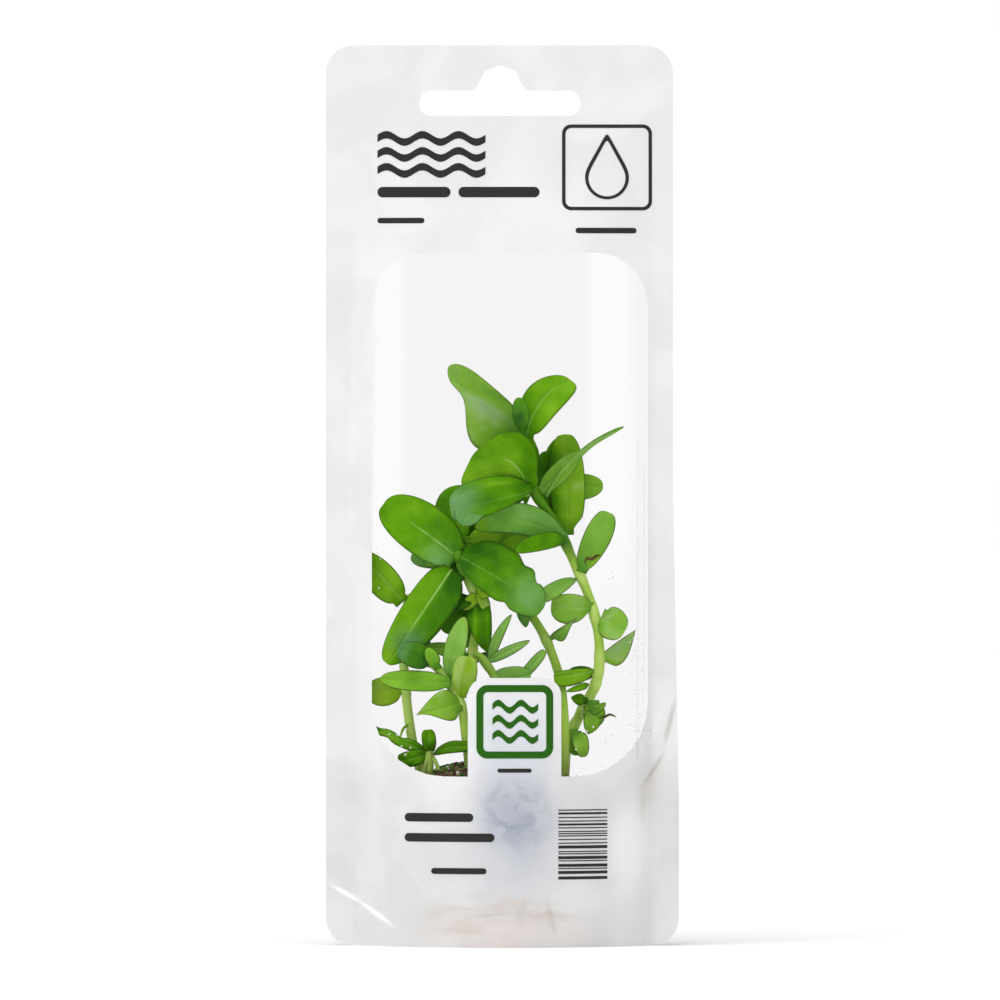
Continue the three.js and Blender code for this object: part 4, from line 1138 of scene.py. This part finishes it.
def leaf(mesh, blade, kind=0):
    """Adds one closed leaf blade with a sunken midrib above, a raised one below and wavy margins."""
    stations, lanes = (22, 8) if blade.width < 4 else (34, 14)
    phase = 3.1 * blade.base[0] + blade.base[2]
    times = [-0.9 * blade.standoff / blade.length - 0.02, -0.4 * blade.standoff / blade.length]
    times += [0.985 * (1 - math.cos(math.pi * k / stations)) / 2 for k in range(stations)] + [0.992]
    shares = np.linspace(-1, 1, lanes + 1)
    shares = np.sign(shares) * np.abs(shares) ** 1.15
    around = [(1, share) for share in shares[::-1]] + [(-1, share) for share in shares[1:-1]]
    groove = 0.14 * min(1, 0.2 + 2 * blade.rib)
    points, places, paint, traits = [], [], [], []
    for t in times:
        inner = max(t, 0)
        narrow = blade.neck + (1 - blade.neck) * smooth(inner, 0, 0.14)
        plain = blade.rib * (1 - smooth(inner, 0.45, 0.45 + 0.5 * blade.reach))
        centre, lift = blade.centre(t), blade.lift(inner)
        full = min(1, blade.half(inner, 1), blade.half(inner, -1))
        for layer, share in around:
            half = blade.half(inner, share) * narrow
            off = abs(share)
            rise = blade.fold * half * off**1.5 + layer * LEAF_THICK / 2 * full * (1 - off * off) ** 0.6
            rise -= groove * (1 if layer > 0 else 1.5) * math.exp(-((share * half / 0.35) ** 2)) * full
            swing = math.sin(9 * inner + phase + (1.7 if share > 0 else 0))
            rise += blade.wave * off**2 * swing * min(1, half / 2)
            points.append(centre + blade.side * half * share + lift * rise)
            places.append((half * share, half, inner * blade.length))
            paint.append(blade.color(points[-1], inner, share))
            traits.append((plain, blade.edge, blade.yellow))
    points.append(0.2 * centre + 0.8 * blade.tip)
    places.append((0, 0.01, blade.length))
    paint.append(paint[-1])
    traits.append(traits[-1])
    ring = len(around)
    last = (len(times) - 1) * ring
    faces = [list(range(ring))] + [quad[::-1] for quad in bands(len(times), ring)]
    faces += [[last + ring, last + (k + 1) % ring, last + k] for k in range(ring)]
    mesh.add(points, faces, kind, blade=places, paint=paint, trait=traits)


def stem(mesh, points, radius, color, joints, sides=18):
    """A tapering stem, thicker and paler at the joints where its leaves sit, and greener above a height."""
    green_from, green, pale = color
    path = smooth_path(points, 12 * len(points))
    radii, paint = [], []
    for p, t in zip(path, np.linspace(0, 1, len(path))):
        near = max(math.exp(-((np.linalg.norm(p - j) / 1.5) ** 2)) for j in joints)
        radii.append(radius * (1.06 - 0.16 * t) * (1 + 0.24 * near))
        greener = green * smooth(p[2], green_from, green_from + 5)
        # pale lifts the whole stem; on the left stem it is painted light
        paint.append((max(near, pale), max(0, 1 - t * 5) ** 2, greener))
    below = path[0] - unit(path[1] - path[0]) * 1.6
    tube(mesh, np.vstack((below, path)), [radii[0] * 1.1, *radii], sides, 0, [paint[0], *paint])


def curl(mesh, radius, tone, brown, path):
    path = smooth_path(path, 20)
    radii = radius * np.sin(np.linspace(0.35, math.pi - 0.35, len(path)))
    tube(mesh, path, radii, paint=[(tone, 0, brown)] * len(path))


def plant():
    for name, (radius, color, points) in STEMS.items():
        path = smooth_path(points, 60)
        bases = [blade.base for key, blade in LEAVES.items() if key.startswith(name)]
        joints = [path[np.argmin(np.linalg.norm(path - base, axis=1))] for base in bases]
        mesh = Mesh()
        stem(mesh, points, radius, color, joints)
        mesh.piece("stalk_" + name, [STEM], "stem_" + name)
    for name, blade in LEAVES.items():
        mesh = Mesh()
        leaf(mesh, blade)
        for beside, *shape, own in FILLS:
            if beside == name:
                leaf(mesh, Blade(*shape, fold=0.05, bend=0.2, point=0.8, **own))
        for beside, *shape in CURLS:
            if beside == name:
                curl(mesh, *shape)
        mesh.piece("blade_" + name, [LEAF], "leaf_" + name)


def shoot(name, radius, color, points, look, leaves, strands=()):
    """A young shoot in one piece: its stem, its leaves and pale strands below it."""
    mesh = Mesh()
    for strand in strands:
        tube(mesh, smooth_path(strand, 12), [0.45] * 12, paint=[(1, 0, 0)] * 12)
    blades = [Blade(base, tip, width, standoff=0.3, **look, **own) for base, tip, width, own in leaves]
    stem(mesh, points, radius, color, [blade.base for blade in blades], 14)
    for blade in blades:
        leaf(mesh, blade, 1)
    mesh.piece("young_" + name, [STEM, LEAF], name)


plant()
shoot(
    "shoot_short", 0.85, (40, 0.5, 0),
    [
        rooted(0.4, -6), (0.6, -6, 44), (0, -6, 50), (-1.5, -6, 53.7), (-2.8, -6, 55.7), (-4, -6, 57.3),
        (-5.5, -6, 58.4),
    ],
    dict(tone=0.69, blue=0.45, rib=0.15, edge=0.9, wave=0.05),
    [
        ((-2.7, -6, 56.8), (1.8, -7.4, 66.3), 2.1, dict(sway=-0.5)),
        ((-3, -6, 56.9), (5.5, -7.6, 61.1), 2.1, {}),
        ((-1.5, -6, 52.8), (5.6, -7.8, 54.2), 5, dict(point=0.6)),
        ((-0.2, -6, 49), (8.5, -5.2, 59.1), 2.2, dict(peak=0.72, point=1.3)),
    ],
)
shoot(
    "sprout", 0.8, (37, 0.5, 0.6),
    [(-14.6, -4.8, 34.9), (-14.6, -4.9, 36.6), (-14.6, -5, 38), (-14.7, -5, 39)],
    dict(tone=0.47, rib=0.1, edge=0.8, wave=0.5, spots=[(-23.5, 42.3, 2, 1, -25, 0.3, 0.1)]),
    [
        ((-15, -5, 38.7), (-26.8, -3.6, 44), 2.5,
         dict(dents=[(1, 0.45, 0.5, 0.1), (-1, 0.65, 0.5, 0.08), (1, 0.8, 0.3, 0.06)])),
        ((-14.4, -5, 38.7), (-14.9, -7, 43.3), 2.9, dict(point=0.6, peak=0.62)),
        ((-14.9, -5, 38.3), (-20.7, -6.4, 36.9), 3.3, dict(point=0.6, peak=0.65)),
        ((-13.9, -5, 38.3), (-5.4, -8.8, 39.7), 2.5, dict(sway=-0.9, peak=0.6)),
    ],
    [
        [(-17.4, -5, 34.4), (-16.4, -5.1, 36.6), (-15, -5, 38.4)],
        [(-15.9, -5.4, 34.2), (-15.4, -5.5, 36.6), (-14.8, -5.2, 38.6)],
        [(-12.6, -5.2, 34.6), (-13.2, -5.4, 36.4), (-14.3, -5.1, 38.4)],
    ],
)


# Drops on the inside of the front film: left, right, foot and top of each patch, and how many drops it has
MIST = [
    (25.4, 28.2, 33, 62, 60), (-25.4, -24, 64, 81, 9), (20.8, 22.6, 73, 76, 6), (14, 24, 34, 50, 22),
    (-24, -18, 33, 44, 14),
]


def mist():
    random.seed(23)
    mesh = Mesh()
    for x0, x1, z0, z1, count in MIST:
        for _ in range(count):
            x, z, size = random.uniform(x0, x1), random.uniform(z0, z1), random.uniform(0.15, 0.5)
            behind = 0.1 - float(depth(front_ripple)(np.array(x), np.array(z)))
            chunk(mesh, Vector((x, behind, z)), size)
    mesh.piece("mist", [DROPLET])


mist()


# Floor, light and camera, in metres

FLOOR_REACH = 60
LAMPS_AIM = Vector((0, 0, 0.09))
SKY = {"From Min": 0.06, "From Max": 0.3, "To Min": 1.01, "To Max": 0.5}
CAMERA_PLACE = (-0.0005, -3.0, 0.0891)
CAMERA_LENS = 540
CAMERA_SENSOR = 36
CAMERA_REACH = 200


def floor():
    mesh = bpy.data.meshes.new("floor")
    corners = [(x * FLOOR_REACH, y * FLOOR_REACH, 0) for x, y in ((-1, -1), (1, -1), (1, 1), (-1, 1))]
    mesh.from_pydata(corners, [], [(0, 1, 2, 3)])
    s = Surface("floor", Roughness=0.9)
    s.paint(s.mix(s.noise(3), (251, 251, 251), (253, 253, 253)))
    mesh.materials.append(s.material)
    placed("floor", mesh)


def lamp(name, kind, energy, place, **settings):
    data = bpy.data.lights.new(name, kind)
    data.energy = energy
    for key, value in settings.items():
        setattr(data, key, value)
    thing = placed(name, data)
    thing.location = place
    thing.rotation_euler = (LAMPS_AIM - Vector(place)).to_track_quat("-Z", "Y").to_euler()


def sky():
    """White from all sides, fading upward."""
    world = bpy.data.worlds.new("studio")
    world.use_nodes = True
    nodes, links = world.node_tree.nodes, world.node_tree.links
    split = nodes.new("ShaderNodeSeparateXYZ")
    fade = nodes.new("ShaderNodeMapRange")
    for socket, value in SKY.items():
        fade.inputs[socket].default_value = value
    links.new(nodes.new("ShaderNodeTexCoord").outputs["Generated"], split.inputs[0])
    links.new(split.outputs["Z"], fade.inputs["Value"])
    links.new(fade.outputs[0], nodes["Background"].inputs["Strength"])
    nodes["Background"].inputs["Color"].default_value = (1, 1, 1, 1)
    bpy.context.scene.world = world


def camera():
    lens = bpy.data.cameras.new("camera")
    lens.sensor_width = CAMERA_SENSOR
    lens.lens = CAMERA_LENS
    lens.clip_end = CAMERA_REACH
    thing = placed("camera", lens)
    thing.location = CAMERA_PLACE
    thing.rotation_euler = (math.radians(90), 0, 0)
    bpy.context.scene.camera = thing


floor()
sky()
lamp("sun", "SUN", 1.9, (-0.5, -0.7, 2.0), angle=math.radians(50))
lamp("softbox_left", "AREA", 1.8, (-0.7, -0.9, 0.5), shape="RECTANGLE", size=0.35, size_y=1.0)
lamp("softbox_right", "AREA", 1.0, (0.75, -0.8, 0.4), shape="RECTANGLE", size=0.25, size_y=1.0)
camera()
bpy.context.scene.view_settings.view_transform = "Standard"
bpy.context.scene.cycles.transparent_max_bounces = 32
